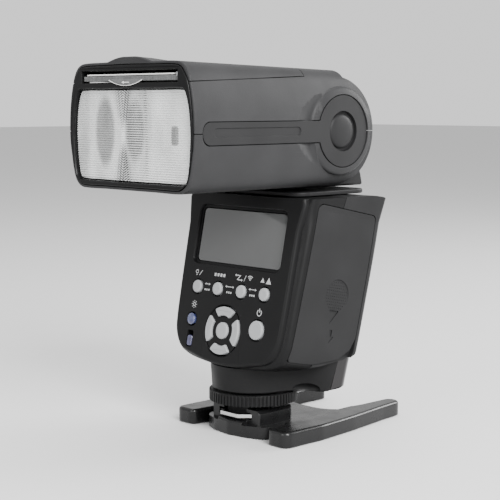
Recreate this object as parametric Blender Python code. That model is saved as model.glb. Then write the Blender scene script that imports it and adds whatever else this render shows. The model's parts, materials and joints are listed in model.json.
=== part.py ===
"""Speedlight flash on its mini stand, as separate solids in metres, +Z up.

The origin is on the ground, on the axis of the foot's lock ring. The control panel and
the lens both face -Y: the head is turned round to the panel's side. +X is the battery side.
"""
import math

import bmesh
import bpy
from mathutils import Matrix, Vector

MM = 0.001
GAP = 0.3                      # running gap between pieces, in millimetres

LEAN = math.radians(11.92)     # the case leans back from the foot
PANEL_TOP = (0.0, -4.4, 96.0)  # top edge of the control panel
CASE_DEPTH = 44.6
CASE_SPLIT = 20.0              # depth of the seam between the case halves
CASE_TOP = 96.6
WALL = 2.0

SWIVEL_Y = 17.5
TILT_Y = 15.5
TILT_Z = 122.5
HEAD_FRONT = -63.7
LOBE_R = 20.3
NECK_HALF = 20.0
CHEEK_IN = 20.6

RING_R = 18.1
RING_Z = (12.9, 17.4)
PLATE_Z = (7.2, 9.2)
FLOOR_Z = 6.8
STAND_Y = 63.7
WEB_TOP = 4.9

COLOURS = {
    "shell": ((0.035, 0.035, 0.037), 0.55, 0.0),
    "panel": ((0.012, 0.012, 0.013), 0.5, 0.0),
    "stand": ((0.02, 0.02, 0.021), 0.45, 0.0),
    "button": ((0.55, 0.56, 0.57), 0.45, 0.0),
    "lamp": ((0.25, 0.28, 0.45), 0.2, 0.0),
    "dark_glass": ((0.03, 0.035, 0.037), 0.08, 0.0),
    "clear": ((0.85, 0.86, 0.86), 0.1, 0.0),
    "card": ((0.85, 0.85, 0.83), 0.5, 0.0),
    "steel": ((0.72, 0.72, 0.71), 0.25, 1.0),
    "brass": ((0.7, 0.52, 0.25), 0.3, 1.0),
    "board": ((0.03, 0.16, 0.07), 0.5, 0.0),
    "cell": ((0.35, 0.36, 0.38), 0.35, 0.6),
    "can": ((0.05, 0.06, 0.12), 0.4, 0.0),
    "inner": ((0.05, 0.05, 0.055), 0.5, 0.0),
    "reflector": ((0.8, 0.8, 0.8), 0.15, 1.0),
}


def clear_scene():
    for obj in list(bpy.data.objects):
        bpy.data.objects.remove(obj, do_unlink=True)


def new_collection(name, hidden=False):
    col = bpy.data.collections.new(name)
    bpy.context.scene.collection.children.link(col)
    col.hide_render = hidden
    return col


def make_material(name, look):
    colour, rough, metal = COLOURS[look]
    mat = bpy.data.materials.new(name)
    mat.use_nodes = True
    bsdf = mat.node_tree.nodes["Principled BSDF"]
    bsdf.inputs["Base Color"].default_value = (*colour, 1.0)
    bsdf.inputs["Roughness"].default_value = rough
    bsdf.inputs["Metallic"].default_value = metal
    return mat


def add_object(name, bm, frame=None, look=None, origin=(0, 0, 0)):
    """Makes an object from a bmesh in millimetres; origin is its pivot in the frame."""
    pivot = Vector(origin)
    bmesh.ops.translate(bm, verts=bm.verts, vec=-pivot)
    bmesh.ops.scale(bm, verts=bm.verts, vec=(MM, MM, MM))
    bmesh.ops.recalc_face_normals(bm, faces=bm.faces)
    mesh = bpy.data.meshes.new(name)
    bm.to_mesh(mesh)
    bm.free()
    obj = bpy.data.objects.new(name, mesh)
    obj.location = pivot * MM
    if frame is not None:
        obj.parent = frame
    if look is None:
        CUTTERS.objects.link(obj)
        obj.hide_render = True
        obj.display_type = "WIRE"
    else:
        PARTS.objects.link(obj)
        mesh.materials.append(make_material(name, look))
    return obj


def smooth(obj, angle=35.0):
    obj.data.shade_smooth()
    obj.data.set_sharp_from_angle(angle=math.radians(angle))
    return obj


def empty(name, location, rotation=(0, 0, 0)):
    obj = bpy.data.objects.new(name, None)
    obj.location = Vector(location) * MM
    obj.rotation_euler = rotation
    PARTS.objects.link(obj)
    return obj


def boolean(obj, cutter, operation="DIFFERENCE"):
    mod = obj.modifiers.new(operation.title(), "BOOLEAN")
    mod.operation = operation
    mod.solver = "EXACT"
    mod.object = cutter
    return obj


def outline_solid(points, low, high, axis="z"):
    """A flat outline pushed along an axis. The outline is in the other two axes, in order."""
    bm = bmesh.new()
    place = {
        "x": lambda a, b: (low, a, b),
        "y": lambda a, b: (a, low, b),
        "z": lambda a, b: (a, b, low),
    }[axis]
    face = bm.faces.new([bm.verts.new(place(a, b)) for a, b in points])
    step = {"x": (high - low, 0, 0), "y": (0, high - low, 0), "z": (0, 0, high - low)}[axis]
    grown = bmesh.ops.extrude_face_region(bm, geom=[face])["geom"]
    verts = [item for item in grown if isinstance(item, bmesh.types.BMVert)]
    bmesh.ops.translate(bm, verts=verts, vec=step)
    return bm


def lofted(rings):
    """A closed solid through rings of equal point count."""
    bm = bmesh.new()
    rows = [[bm.verts.new(point) for point in ring] for ring in rings]
    count = len(rows[0])
    for lower, upper in zip(rows, rows[1:]):
        for i in range(count):
            j = (i + 1) % count
            bm.faces.new([lower[i], lower[j], upper[j], upper[i]])
    bm.faces.new(rows[0])
    bm.faces.new(rows[-1])
    return bm


def box(low, high):
    bm = bmesh.new()
    bmesh.ops.create_cube(bm, size=1.0)
    size = Vector(high) - Vector(low)
    bmesh.ops.scale(bm, verts=bm.verts, vec=size)
    bmesh.ops.translate(bm, verts=bm.verts, vec=(Vector(high) + Vector(low)) / 2)
    return bm


def cylinder(radius, low, high, axis="z", centre=(0, 0), segments=32, top=None):
    """A cylinder or cone along an axis; centre is given in the other two axes, in order."""
    bm = bmesh.new()
    bmesh.ops.create_cone(
        bm, cap_ends=True, segments=segments, depth=high - low,
        radius1=radius, radius2=radius if top is None else top,
    )
    middle = (low + high) / 2
    if axis == "x":
        bmesh.ops.rotate(bm, verts=bm.verts, matrix=Matrix.Rotation(math.pi / 2, 3, "Y"))
        at = (middle, centre[0], centre[1])
    elif axis == "y":
        bmesh.ops.rotate(bm, verts=bm.verts, matrix=Matrix.Rotation(-math.pi / 2, 3, "X"))
        at = (centre[0], middle, centre[1])
    else:
        at = (centre[0], centre[1], middle)
    bmesh.ops.translate(bm, verts=bm.verts, vec=at)
    return bm


def rounded(corners, segments=3):
    """Rounds the corners (a, b, radius) of a polygon."""
    out = []
    count = len(corners)
    for i, (a, b, radius) in enumerate(corners):
        here = Vector((a, b))
        if radius <= 0:
            out.append((a, b))
            continue
        before = Vector(corners[i - 1][:2]) - here
        after = Vector(corners[(i + 1) % count][:2]) - here
        half = before.angle(after) / 2
        reach = radius / math.tan(half)
        centre = here + (before.normalized() + after.normalized()).normalized() * (
            radius / math.sin(half)
        )
        start = here + before.normalized() * reach - centre
        end = here + after.normalized() * reach - centre
        for k in range(segments + 1):
            t = k / segments
            mix = (start * (1 - t) + end * t).normalized() * radius
            out.append(tuple(centre + mix))
    return out


def mirrored(half):
    """Closes a right-hand half outline, listed from one end of the middle line to the other."""
    left = [(-a, b) for a, b in reversed(half) if abs(a) > 1e-6]
    return list(half) + left


def arc(centre, radius, start, end, steps):
    out = []
    for k in range(steps + 1):
        angle = math.radians(start + (end - start) * k / steps)
        out.append((centre[0] + radius * math.cos(angle), centre[1] + radius * math.sin(angle)))
    return out


# ---------------------------------------------------------------- stand

def stand_outline():
    arm = [
        (33.0, -9.0, 0), (33.0, 7.0, 0), (30.6, 28.0, 0), (26.8, 51.0, 0),
        (25.2, STAND_Y, 3.2), (18.2, STAND_Y, 3.2), (18.0, 31.0, 14.0), (2.0, 31.0, 0),
    ]
    front = [(0.0, -14.3), (9.5, -12.9), (16.0, -10.3), (18.6, -7.0), (19.6, -2.0)]
    notch = [(21.4, -2.0), (22.0, -11.0), (24.0, -13.6), (31.0, -13.8)]
    return mirrored(front + notch + rounded(arm, 6) + [(0.0, 31.0)])


def add_stand():
    stand = add_object("stand_base", outline_solid(stand_outline(), 0.0, 6.3), look="stand")
    for side in (-1, 1):
        low = [
            (7.0, -20.0), (17.6, -20.0), (20.2, -3.0), (20.6, 10.0), (18.0, 32.0), (18.0, 46.0),
            (7.0, 46.0),
        ]
        trim = [(side * a, b) for a, b in low]
        boolean(stand, add_object(f"cut_web_{side}", outline_solid(trim, WEB_TOP, 8.0)))
    boolean(stand, add_object("cut_web_back", box((-7.5, 9.5, WEB_TOP), (7.5, 33.0, 8.0))))
    shoe = outline_solid([(-14, -10), (14, -10), (14, 9), (-14, 9)], 3.0, 11.0)
    boolean(stand, add_object("join_shoe", shoe), "UNION")
    slot = box((-9.6, -12.0, FLOOR_Z), (9.6, 7.0, 9.5))
    boolean(stand, add_object("cut_shoe_slot", slot))
    boolean(stand, add_object("cut_shoe_mouth", box((-6.7, -12.0, 9.0), (6.7, 12.0, 12.0))))
    for side in (-1, 1):
        wedge = [(14.5, 9.4), (14.5, 12.0), (11.6, 12.0)]
        wedge = [(side * a, b) for a, b in wedge]
        boolean(stand, add_object(f"cut_rail_{side}", outline_solid(wedge, -13, 12, "y")))
    pin_hole = cylinder(1.9, 4.6, 9.0, centre=(-3.6, 1.8), segments=16)
    boolean(stand, add_object("cut_pin_hole", pin_hole))
    well = cylinder(5.3, -1.0, 4.9, centre=(0.0, -6.0), segments=24)
    boolean(stand, add_object("cut_insert_well", well))
    insert = add_object(
        "tripod_insert", cylinder(5.0, 0.3, 4.6, centre=(0.0, -6.0), segments=24), look="brass"
    )
    hole = cylinder(3.1, -0.5, 3.9, centre=(0.0, -6.0), segments=20)
    boolean(insert, add_object("cut_insert_thread", hole))
    smooth(insert)


# ---------------------------------------------------------------- foot

def add_foot():
    plate = rounded([
        (-9.3, -9.3, 0), (-5.1, -13.5, 0), (5.1, -13.5, 0), (9.3, -9.3, 0),
        (9.3, 5.0, 1.5), (-9.3, 5.0, 1.5),
    ])
    shoe = add_object("shoe_plate", outline_solid(plate, *PLATE_Z), look="steel")
    stem = box((-6.2, -9.0, 8.5), (6.2, 4.6, 12.4))
    boolean(shoe, add_object("join_stem", stem), "UNION")
    boolean(shoe, add_object("join_column", cylinder(6.8, 12.0, 17.6)), "UNION")
    boolean(shoe, add_object("cut_pin_bore", cylinder(1.7, 6.0, 14.2, centre=(-3.6, 1.8), segments=16)))
    boolean(shoe, add_object("cut_contact", cylinder(2.1, 6.0, 9.3, centre=(0, -4.4), segments=16)))
    smooth(shoe)
    pin = add_object(
        "lock_pin", cylinder(1.35, 7.3, 12.4, centre=(-3.6, 1.8), segments=16),
        look="steel", origin=(-3.6, 1.8, 12.4),
    )
    smooth(pin)
    contact = cylinder(1.5, 7.08, 8.6, centre=(0, -4.4), segments=16)
    smooth(add_object("contact_pin", contact, look="brass", origin=(0, -4.4, 8.6)))
    add_lock_ring()


def add_lock_ring():
    teeth = 36
    rim = []
    for i in range(teeth * 2):
        radius = RING_R if i % 2 else RING_R - 0.7
        angle = math.pi * i / teeth
        rim.append((radius * math.cos(angle), radius * math.sin(angle)))
    ring = add_object("lock_ring", outline_solid(rim, *RING_Z), look="stand")
    boolean(ring, add_object("cut_ring_bore", cylinder(7.2, 12.0, 18.0)))
    boolean(ring, add_object("cut_ring_dish", cylinder(15.4, 16.2, 18.0)))


def seam_y(z):
    """The housing and the window behind it meet on a slanted seam."""
    return 15.3 + 0.25 * (z - 17.6)


def housing_outline(inset, narrow, rear):
    """Base housing in plan: a half-round front that widens towards the rear."""
    radius = 17.5 - inset
    wide = narrow - inset
    half = arc((0, 0), radius, -90, -8, 8)
    half += [(wide - 3.0, 8.5 + inset), (wide, 12.0 + inset), (wide, rear)]
    return mirrored(half + [(0.0, rear)])


def under_case(bottom):
    """Side view of the room under the case, (y, z), with a running gap above it."""
    return [
        (-30.0, bottom), (-30.0, 28.3), (-8.0, 28.3), (20.5, 30.3), (25.8, 32.2),
        (26.9, 33.6), (35.0, 33.6), (35.0, bottom),
    ]


def add_foot_housing():
    low, high = 17.9, 34.0
    rings = [
        [(a, b, low) for a, b in housing_outline(0.6, 29.4, seam_y(low) - 0.15)],
        [(a, b, high) for a, b in housing_outline(-0.3, 30.4, seam_y(high) - 0.15)],
    ]
    housing = add_object("foot_housing", lofted(rings), look="panel")
    room = add_object("keep_housing", outline_solid(under_case(10.0), -40.0, 40.0, "x"))
    boolean(housing, room, "INTERSECT")
    inner = [(a, min(b, 13.0)) for a, b in housing_outline(2.0, 28.6, 13.0)]
    boolean(housing, add_object("cut_housing", outline_solid(inner, 20.6, 36.0)))
    smooth(housing, 40)
    rings = []
    for z, wide, rear in ((low, 28.8, 26.3), (high, 30.4, 29.0)):
        front = seam_y(z) + 0.15
        plan = [(wide, front, 0), (wide, rear, 5.0), (-wide, rear, 5.0), (-wide, front, 0)]
        rings.append([(a, b, z) for a, b in rounded(plan, 4)])
    window = add_object("sensor_window", lofted(rings), look="dark_glass")
    boolean(window, room, "INTERSECT")
    boolean(window, add_object("cut_window", box((-26.0, 14.0, 20.4), (26.0, 23.4, 30.0))))
    smooth(window)


# ---------------------------------------------------------------- case

def panel_outline(grow=0.0):
    """Raised panel in its own plane: x across, y up the lean, from the panel's top edge."""
    half = [
        (32.3 + grow, 3.0), (31.8 + grow, -26.0), (31.4 + grow, -43.0), (30.8 + grow, -54.5),
        (29.6 + grow, -59.2 - grow), (27.2 + grow, -62.8 - grow), (24.0, -64.8 - grow),
        (18.3, -66.2 - grow), (10.0, -67.9 - grow), (0.0, -68.6 - grow),
    ]
    return mirrored([(0.0, 3.0)] + half)


def case_outline(inset=0.0):
    """Case across the lean: slightly wider at the top, with rounded bottom corners."""
    half = [
        (35.5 - inset, 12.0), (35.2 - inset, -15.0), (34.3 - inset, -38.0), (33.4 - inset, -56.0),
        (32.6 - inset, -60.0), (31.0 - inset, -63.0), (28.0 - inset, -65.4 + inset),
        (21.0, -67.4 + inset), (11.0, -68.4 + inset), (0.0, -68.8 + inset),
    ]
    return mirrored([(0.0, 12.0)] + half)


def case_profile(inset=0.0):
    """Side view of the case, (y, z): top, rear corner, rear, and bottom."""
    k = inset
    return [
        (-30.0, CASE_TOP - k), (35.5 - k, CASE_TOP - k), (40.2 - k, 95.6 - k), (42.1 - k, 93.3 - k),
        (28.4 - k, 36.5 + k / 2), (25.6 - k, 32.6 + k), (20.5 - k, 30.6 + k),
        (-8.0, 28.6 + k), (-30.0, 28.6 + k),
    ]


def add_front_case():
    rings = [
        [(a, b, 0.0) for a, b in panel_outline(-0.6)],
        [(a, b, -0.9) for a, b in panel_outline()],
        [(a, b, -1.6) for a, b in panel_outline()],
        [(a, b, -5.0) for a, b in case_outline()],
        [(a, b, -CASE_SPLIT + GAP) for a, b in case_outline()],
    ]
    case = add_object("front_case", lofted(rings), frame=PANEL, look="panel")
    boolean(case, add_object("keep_front", outline_solid(case_profile(), -40, 40, "x")), "INTERSECT")
    inner = lofted([
        [(a * 0.93, b + (2.5 if b < 0 else 0.0), -2.2) for a, b in panel_outline()],
        [(a, b, -6.4) for a, b in case_outline(WALL)],
        [(a, b, -30.0) for a, b in case_outline(WALL)],
    ])
    hollow = add_object("cut_front", inner, frame=PANEL)
    keep = outline_solid(case_profile(WALL), -40, 40, "x")
    boolean(hollow, add_object("keep_front_in", keep), "INTERSECT")
    boolean(case, hollow)
    return case


def add_rear_case():
    rings = [
        [(a, b, -CASE_SPLIT) for a, b in case_outline()],
        [(a, b, -41.4) for a, b in case_outline()],
        [(a, b, -43.4) for a, b in case_outline(0.9)],
        [(a, b, -CASE_DEPTH) for a, b in case_outline(2.6)],
    ]
    case = add_object("rear_case", lofted(rings), frame=PANEL, look="shell")
    boolean(case, add_object("keep_rear", outline_solid(case_profile(), -40, 40, "x")), "INTERSECT")
    inner = lofted([
        [(a, b, -10.0) for a, b in case_outline(WALL)],
        [(a, b, -37.6) for a, b in case_outline(WALL)],
        [(a, b, -41.4) for a, b in case_outline(5.0)],
    ])
    hollow = add_object("cut_rear", inner, frame=PANEL)
    keep = outline_solid(case_profile(WALL), -40, 40, "x")
    boolean(hollow, add_object("keep_rear_in", keep), "INTERSECT")
    boolean(case, hollow)
    return case


DOOR_TRAVEL = 5.0
DOOR = [
    (-6.2, 0.4, 2.5), (-40.2, 0.4, 2.5), (-40.6, -50.0, 0), (-38.6, -55.0, 2.0),
    (-33.0, -59.2, 2.0), (-18.0, -63.0, 0), (-8.0, -63.8, 2.0), (-5.0, -61.5, 2.0),
]


def door_outline(grow=0.0):
    """Battery door in side view, (depth, up) in the panel's frame."""
    out = []
    for depth, up, radius in DOOR:
        outward = 1.0 if depth > -22.5 else -1.0
        upward = 1.0 if up > -20.0 else -1.0
        out.append((depth + grow * outward, up + grow * upward, radius))
    return [(b, a) for a, b in rounded(out)]


def add_battery_door(front, rear):
    """Door plate on the +X side; it hinges on its long rear edge and slides down the lean."""
    for case, tag in ((front, "front"), (rear, "rear")):
        recess = outline_solid(door_outline(), 31.0, 40.0, "x")
        boolean(case, add_object(f"cut_door_{tag}", recess, frame=PANEL))
        lowered = [(up - DOOR_TRAVEL - GAP, depth) for up, depth in door_outline()]
        low_cut = outline_solid(lowered, 31.0, 40.0, "x")
        boolean(case, add_object(f"cut_door_low_{tag}", low_cut, frame=PANEL))
        below = box((30.6, -80.0, -38.5), (40.0, -58.0, -5.4))
        boolean(case, add_object(f"cut_below_{tag}", below, frame=PANEL))
    pivot = (34.9, 0.0, -40.4)
    door = add_object(
        "battery_door", outline_solid(door_outline(-GAP), 31.2, 40.0, "x"),
        frame=PANEL, look="shell", origin=pivot,
    )
    skin = lofted([
        [(a, b, -2.0) for a, b in case_outline()],
        [(a, b, -41.4) for a, b in case_outline()],
        [(a, b, -43.4) for a, b in case_outline(0.9)],
        [(a, b, -CASE_DEPTH) for a, b in case_outline(2.6)],
    ])
    boolean(door, add_object("keep_door", skin, frame=PANEL), "INTERSECT")
    back = lofted([
        [(a, b, 0.0) for a, b in case_outline(1.9)],
        [(a, b, -50.0) for a, b in case_outline(1.9)],
    ])
    boolean(door, add_object("cut_door_back", back, frame=PANEL))
    strip = box((28.8, -48.0, -39.2), (30.3, -12.0, -37.7))
    add_object("door_hinge_strip", strip, frame=PANEL, look="steel")
    return door


# ---------------------------------------------------------------- panel controls

ROUND_KEYS = {
    "function_button_1": (-20.4, -38.4, 2.6), "function_button_2": (-8.2, -38.2, 2.6),
    "function_button_3": (5.7, -38.0, 2.6), "function_button_4": (18.9, -37.8, 2.6),
    "power_button": (17.6, -52.1, 3.8), "pilot_button": (-21.1, -52.0, 2.35),
    "set_button": (-1.6, -54.6, 3.4),
}
PAD_CENTRE = (-1.6, -54.6)
PAD_OUTER = 9.8
PAD_INNER = 5.1
PAD_KEYS = {"pad_right": 0.0, "pad_up": 90.0, "pad_left": 180.0, "pad_down": 270.0}
KEY_TOP = 0.8
KEY_FOOT = -2.9


def add_round_keys(case):
    for name, (x, y, radius) in ROUND_KEYS.items():
        look = "lamp" if name == "pilot_button" else "button"
        key = cylinder(radius, KEY_FOOT, KEY_TOP, centre=(x, y), segments=24)
        smooth(add_object(name, key, frame=PANEL, look=look, origin=(x, y, KEY_TOP)))
        if name != "set_button":
            hole = cylinder(radius + GAP, -4.0, 2.0, centre=(x, y), segments=24)
            boolean(case, add_object(f"cut_{name}", hole, frame=PANEL))


def add_pad_keys(case):
    for name, middle in PAD_KEYS.items():
        outer = arc(PAD_CENTRE, PAD_OUTER, middle - 39, middle + 39, 8)
        inner = arc(PAD_CENTRE, PAD_INNER, middle + 31, middle - 31, 6)
        key = outline_solid(outer + inner, KEY_FOOT, KEY_TOP)
        angle = math.radians(middle)
        reach = (PAD_OUTER + PAD_INNER) / 2
        pivot = (
            PAD_CENTRE[0] + reach * math.cos(angle), PAD_CENTRE[1] + reach * math.sin(angle), KEY_TOP
        )
        smooth(add_object(name, key, frame=PANEL, look="button", origin=pivot))
    hole = cylinder(PAD_OUTER + GAP, -4.0, 2.0, centre=PAD_CENTRE, segments=48)
    boolean(case, add_object("cut_pad", hole, frame=PANEL))


def slab(half, top, bottom, low, high, radius=2.0):
    outline = rounded([
        (half, bottom, radius), (half, top, radius), (-half, top, radius), (-half, bottom, radius),
    ])
    return outline_solid(outline, low, high)


def add_display(case):
    opening = slab(25.8, -4.2, -28.9, -4.0, 2.0, 2.3)
    boolean(case, add_object("cut_display", opening, frame=PANEL))
    add_object("display_window", slab(25.4, -4.6, -28.5, -2.2, -1.0), frame=PANEL, look="dark_glass")
    add_object("display_module", slab(24.5, -5.5, -29.5, -6.0, -2.7, 1.0), frame=PANEL, look="inner")
    slot = slab(1.8, -58.4, -63.4, -4.0, 2.0, 1.2)
    for vert in slot.verts:
        vert.co.x -= 20.4
    boolean(case, add_object("cut_light_window", slot, frame=PANEL))
    lamp = slab(1.5, -58.7, -63.1, -2.4, 0.1, 1.0)
    for vert in lamp.verts:
        vert.co.x -= 20.4
    add_object("light_sensor_window", lamp, frame=PANEL, look="lamp")


# ---------------------------------------------------------------- inside the case

CELL_R = 7.25
CELL_X = (8.5, 23.4)
CELL_N = (-14.6, -29.3)


def add_case_inside():
    board = box((-24.0, -58.0, -5.8), (24.0, -33.0, -4.6))
    add_object("control_board", board, frame=PANEL, look="board")
    add_object("main_board", box((-8.5, -54.0, -36.0), (-7.0, -6.0, -10.0)), frame=PANEL, look="board")
    can = cylinder(9.0, -21.0, 21.0, segments=28)
    bmesh.ops.rotate(can, verts=can.verts, matrix=Matrix.Rotation(math.pi / 2, 3, "X"))
    bmesh.ops.translate(can, verts=can.verts, vec=(-19.6, -33.0, -15.0))
    smooth(add_object("main_capacitor", can, frame=PANEL, look="can"))
    tray = add_object(
        "battery_tray", box((-0.5, -55.6, -37.2), (30.2, -1.8, -6.6)), frame=PANEL, look="inner"
    )
    well = box((1.0, -54.8, -36.7), (40.0, -3.0, -7.2))
    boolean(tray, add_object("cut_tray", well, frame=PANEL))
    number = 0
    for x in CELL_X:
        for depth in CELL_N:
            number += 1
            cell = cylinder(CELL_R, -24.2, 24.2, segments=24)
            bmesh.ops.rotate(cell, verts=cell.verts, matrix=Matrix.Rotation(-math.pi / 2, 3, "X"))
            bmesh.ops.translate(cell, verts=cell.verts, vec=(x, -28.9, depth))
            smooth(add_object(f"battery_{number}", cell, frame=PANEL, look="cell"))
    plate = box((2.0, -54.2, -36.0), (29.5, -53.8, -8.5))
    add_object("battery_contacts", plate, frame=PANEL, look="steel")


PORT = [(-23.5, -22.0, 1.5), (-36.5, -22.0, 1.5), (-36.5, -46.0, 1.5), (-23.5, -46.0, 1.5)]


def port_outline(grow):
    out = []
    for depth, up, radius in PORT:
        depth += grow if depth > -30 else -grow
        up += grow if up > -34 else -grow
        out.append((depth, up, radius))
    return [(b, a) for a, b in rounded(out)]


def add_ports(rear):
    """Flap on the -X side with the sync and charging sockets behind it."""
    opening = outline_solid(port_outline(0.0), -40.0, -31.0, "x")
    boolean(rear, add_object("cut_port", opening, frame=PANEL))
    cover = add_object(
        "port_cover", outline_solid(port_outline(-GAP), -40.0, -32.0, "x"),
        frame=PANEL, look="shell", origin=(-35.0, -34.0, -36.2),
    )
    skin = [[(a, b, depth) for a, b in case_outline()] for depth in (-10.0, -50.0)]
    boolean(cover, add_object("keep_port", lofted(skin), frame=PANEL), "INTERSECT")
    core = [[(a, b, depth) for a, b in case_outline(1.4)] for depth in (-9.0, -51.0)]
    boolean(cover, add_object("cut_port_back", lofted(core), frame=PANEL))
    socket = add_object("sync_socket", box((-31.2, -43.0, -35.5), (-23.5, -25.0, -34.6 + 10.0)),
                        frame=PANEL, look="inner")
    for up, radius in ((-29.5, 1.9), (-38.0, 2.9)):
        bore = cylinder(radius, -34.0, -26.0, "x", centre=(up, -30.0), segments=16)
        boolean(socket, add_object(f"cut_socket{int(up)}", bore, frame=PANEL))


# ---------------------------------------------------------------- neck

def add_neck(front, rear):
    for case, tag in ((front, "front"), (rear, "rear")):
        hole = cylinder(9.0, 90.0, 99.0, centre=(0, SWIVEL_Y))
        boolean(case, add_object(f"cut_swivel_{tag}", hole))
    outline = rounded([(27, -1.5, 7), (27, 40.0, 7), (-27, 40.0, 7), (-27, -1.5, 7)], 5)
    plate = add_object(
        "turntable_plate", outline_solid(outline, 97.0, 98.7), look="shell",
        origin=(0, SWIVEL_Y, 97.0),
    )
    tube = cylinder(8.6, 92.0, 97.8, centre=(0, SWIVEL_Y))
    boolean(plate, add_object("join_tube", tube), "UNION")
    boolean(plate, add_object("cut_tube", cylinder(6.4, 91.0, 100.0, centre=(0, SWIVEL_Y))))
    smooth(plate)
    nut = add_object(
        "swivel_nut", cylinder(12.4, 92.3, 94.2, centre=(0, SWIVEL_Y), segments=6), look="steel"
    )
    boolean(nut, add_object("cut_nut", cylinder(8.9, 91.0, 96.0, centre=(0, SWIVEL_Y))))
    add_neck_block()


def neck_profile(k=0.0):
    rear = [
        (28.3 - k, 119.0), (31.0 - k, 114.5), (35.0 - k, 110.8), (39.5 - k, 108.6),
        (42.0 - k, 106.6 - k), (42.9 - k, 104.0), (44.0 - k, 99.7 - 4 * k),
    ]
    dome = arc((TILT_Y, TILT_Z), 13.0 - k, 180.0, -10.0, 16)
    return [(2.5 + k, 99.7 - 4 * k)] + dome + rear


def add_neck_block():
    neck = add_object(
        "neck_block", outline_solid(neck_profile(), -NECK_HALF, NECK_HALF, "x"), look="panel",
        origin=(0, SWIVEL_Y, 99.7),
    )
    boss = cylinder(11.0, 99.0, 101.0, centre=(0, SWIVEL_Y))
    boolean(neck, add_object("join_boss", boss), "UNION")
    inner = outline_solid(neck_profile(2.0), -18.0, 18.0, "x")
    hollow = add_object("cut_neck", inner)
    boolean(hollow, add_object("keep_neck", box((-30, -10, 101.7), (30, 60, 140))), "INTERSECT")
    boolean(neck, hollow)
    boolean(neck, add_object("cut_wire_way", cylinder(6.4, 90.0, 104.0, centre=(0, SWIVEL_Y))))
    smooth(neck)
    for side, tag in ((-1, "left"), (1, "right")):
        ends = sorted((side * (NECK_HALF + GAP), side * 30.5))
        pin = cylinder(5.0, *ends, "x", centre=(TILT_Y, TILT_Z), segments=24)
        smooth(add_object(f"hinge_pin_{tag}", pin, look="steel"))


# ---------------------------------------------------------------- head

SHELL_FRONT = -63.2
SEAM_LOW = 122.5
SEAM_HIGH = ((-62.0, 141.0), (12.0, 144.2))
COVER_REAR = -3.4
BEZEL_INSET = 1.3


def head_half(inset=0.0):
    k = inset
    return [
        (0.0, 148.8 - k), (28.0 - k / 2, 148.3 - k), (31.2 - k * 0.8, 147.3 - k), (33.4 - k, 145.0 - k),
        (35.0 - k, 141.2), (36.7 - k, 134.0), (37.5 - k, 126.0), (37.4 - k, 119.0), (36.5 - k, 113.5),
        (35.5 - k, 108.5), (34.1 - k, 104.4 + k / 2), (32.0 - k, 102.0 + k),
        (29.0 - k / 2, 101.0 + k), (0.0, 101.0 + k),
    ]


def wall_x(y):
    """Half width of the head at the height of the seam."""
    return 37.5 * (1.0 - 0.068 * (y - HEAD_FRONT) / (TILT_Y - HEAD_FRONT))


def head_ring(y, inset=0.0):
    """Front outline of the head at y: it narrows and drops a little towards the hinge."""
    along = (y - HEAD_FRONT) / (TILT_Y - HEAD_FRONT)
    upward = 1.0 - 0.075 * along
    ring = []
    for x, z in mirrored(head_half(inset)):
        z = SEAM_LOW + (z - SEAM_LOW) * (upward if z > SEAM_LOW else 1.0)
        ring.append((x * wall_x(y) / 37.5, y, z))
    return ring


def head_side(k=0.0, front=SHELL_FRONT):
    """Side view of the head, (y, z): flat underside, round lobes and the stepped top."""
    lobe = []
    for i in range(17):
        angle = math.radians(-84 + 162 * i / 16)
        radius = LOBE_R - k + 1.1 * abs(math.sin(angle)) ** 2
        lobe.append((TILT_Y + radius * math.cos(angle), TILT_Z + radius * math.sin(angle)))
    top = [(18.4 - k, 145.2 - k), (17.2 - k, 146.6), (17.2 - k, 160.0), (front, 160.0)]
    return [(front, 90.0 + k), (9.0, 90.0 + k), (9.0, 101.0 + k)] + lobe + top


LOBE_EDGE = ((38.5, 9.0), (36.0, 5.0), (34.4, 2.4), (32.6, 0.8), (30.4, 0.0))


def head_solid(name, look=None):
    rings = [head_ring(SHELL_FRONT), head_ring(-20.0), head_ring(40.0)]
    head = add_object(name, lofted(rings), look=look)
    rings = [[(x, y, z) for y, z in head_side(k)] for x, k in LOBE_EDGE]
    rings += [[(-x, y, z) for x, y, z in ring] for ring in reversed(rings)]
    boolean(head, add_object(f"{name}_side", lofted(rings)), "INTERSECT")
    return head


def pocket():
    """Space between the lobes that clears the neck through the whole tilt."""
    profile = [
        (-2.6, 90.0), (-2.6, 99.0), (-1.0, 108.0), (1.0, 118.0), (1.3, 124.0), (3.2, 130.5),
        (7.0, 135.5), (10.0, 138.0), (10.3, 170.0), (50.0, 170.0), (50.0, 90.0),
    ]
    return outline_solid(profile, -CHEEK_IN, CHEEK_IN, "x")


def head_hollow():
    rings = [
        head_ring(-70.0, 1.0), head_ring(-59.0, 1.0), head_ring(-58.9, 2.0),
        head_ring(-20.0, 2.0), head_ring(-5.2, 2.0),
    ]
    main = add_object("cut_head_main", lofted(rings))
    for side in (-1, 1):
        lobe = lofted([head_ring(-12.0, 2.4), head_ring(38.0, 2.4)])
        cut = add_object(f"cut_lobe_{side}", lobe)
        profile = outline_solid(head_side(5.0, -20.0), -50.0, 50.0, "x")
        boolean(cut, add_object(f"keep_lobe_{side}", profile), "INTERSECT")
        ends = sorted((side * (CHEEK_IN + 2.0), side * 50.0))
        half = box((ends[0], -30.0, 80.0), (ends[1], 60.0, 160.0))
        boolean(cut, add_object(f"half_lobe_{side}", half), "INTERSECT")
        boolean(main, cut, "UNION")
    return main


def above_seam(offset, rear):
    """Everything above the slanted upper seam, in front of the cover's rear edge."""
    (y0, z0), (y1, z1) = SEAM_HIGH
    slope = (z1 - z0) / (y1 - y0)
    ends = [(y, z0 + slope * (y - y0) + offset) for y in (-80.0, rear)]
    return outline_solid(ends + [(rear, 170.0), (-80.0, 170.0)], -60, 60, "x")


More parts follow.
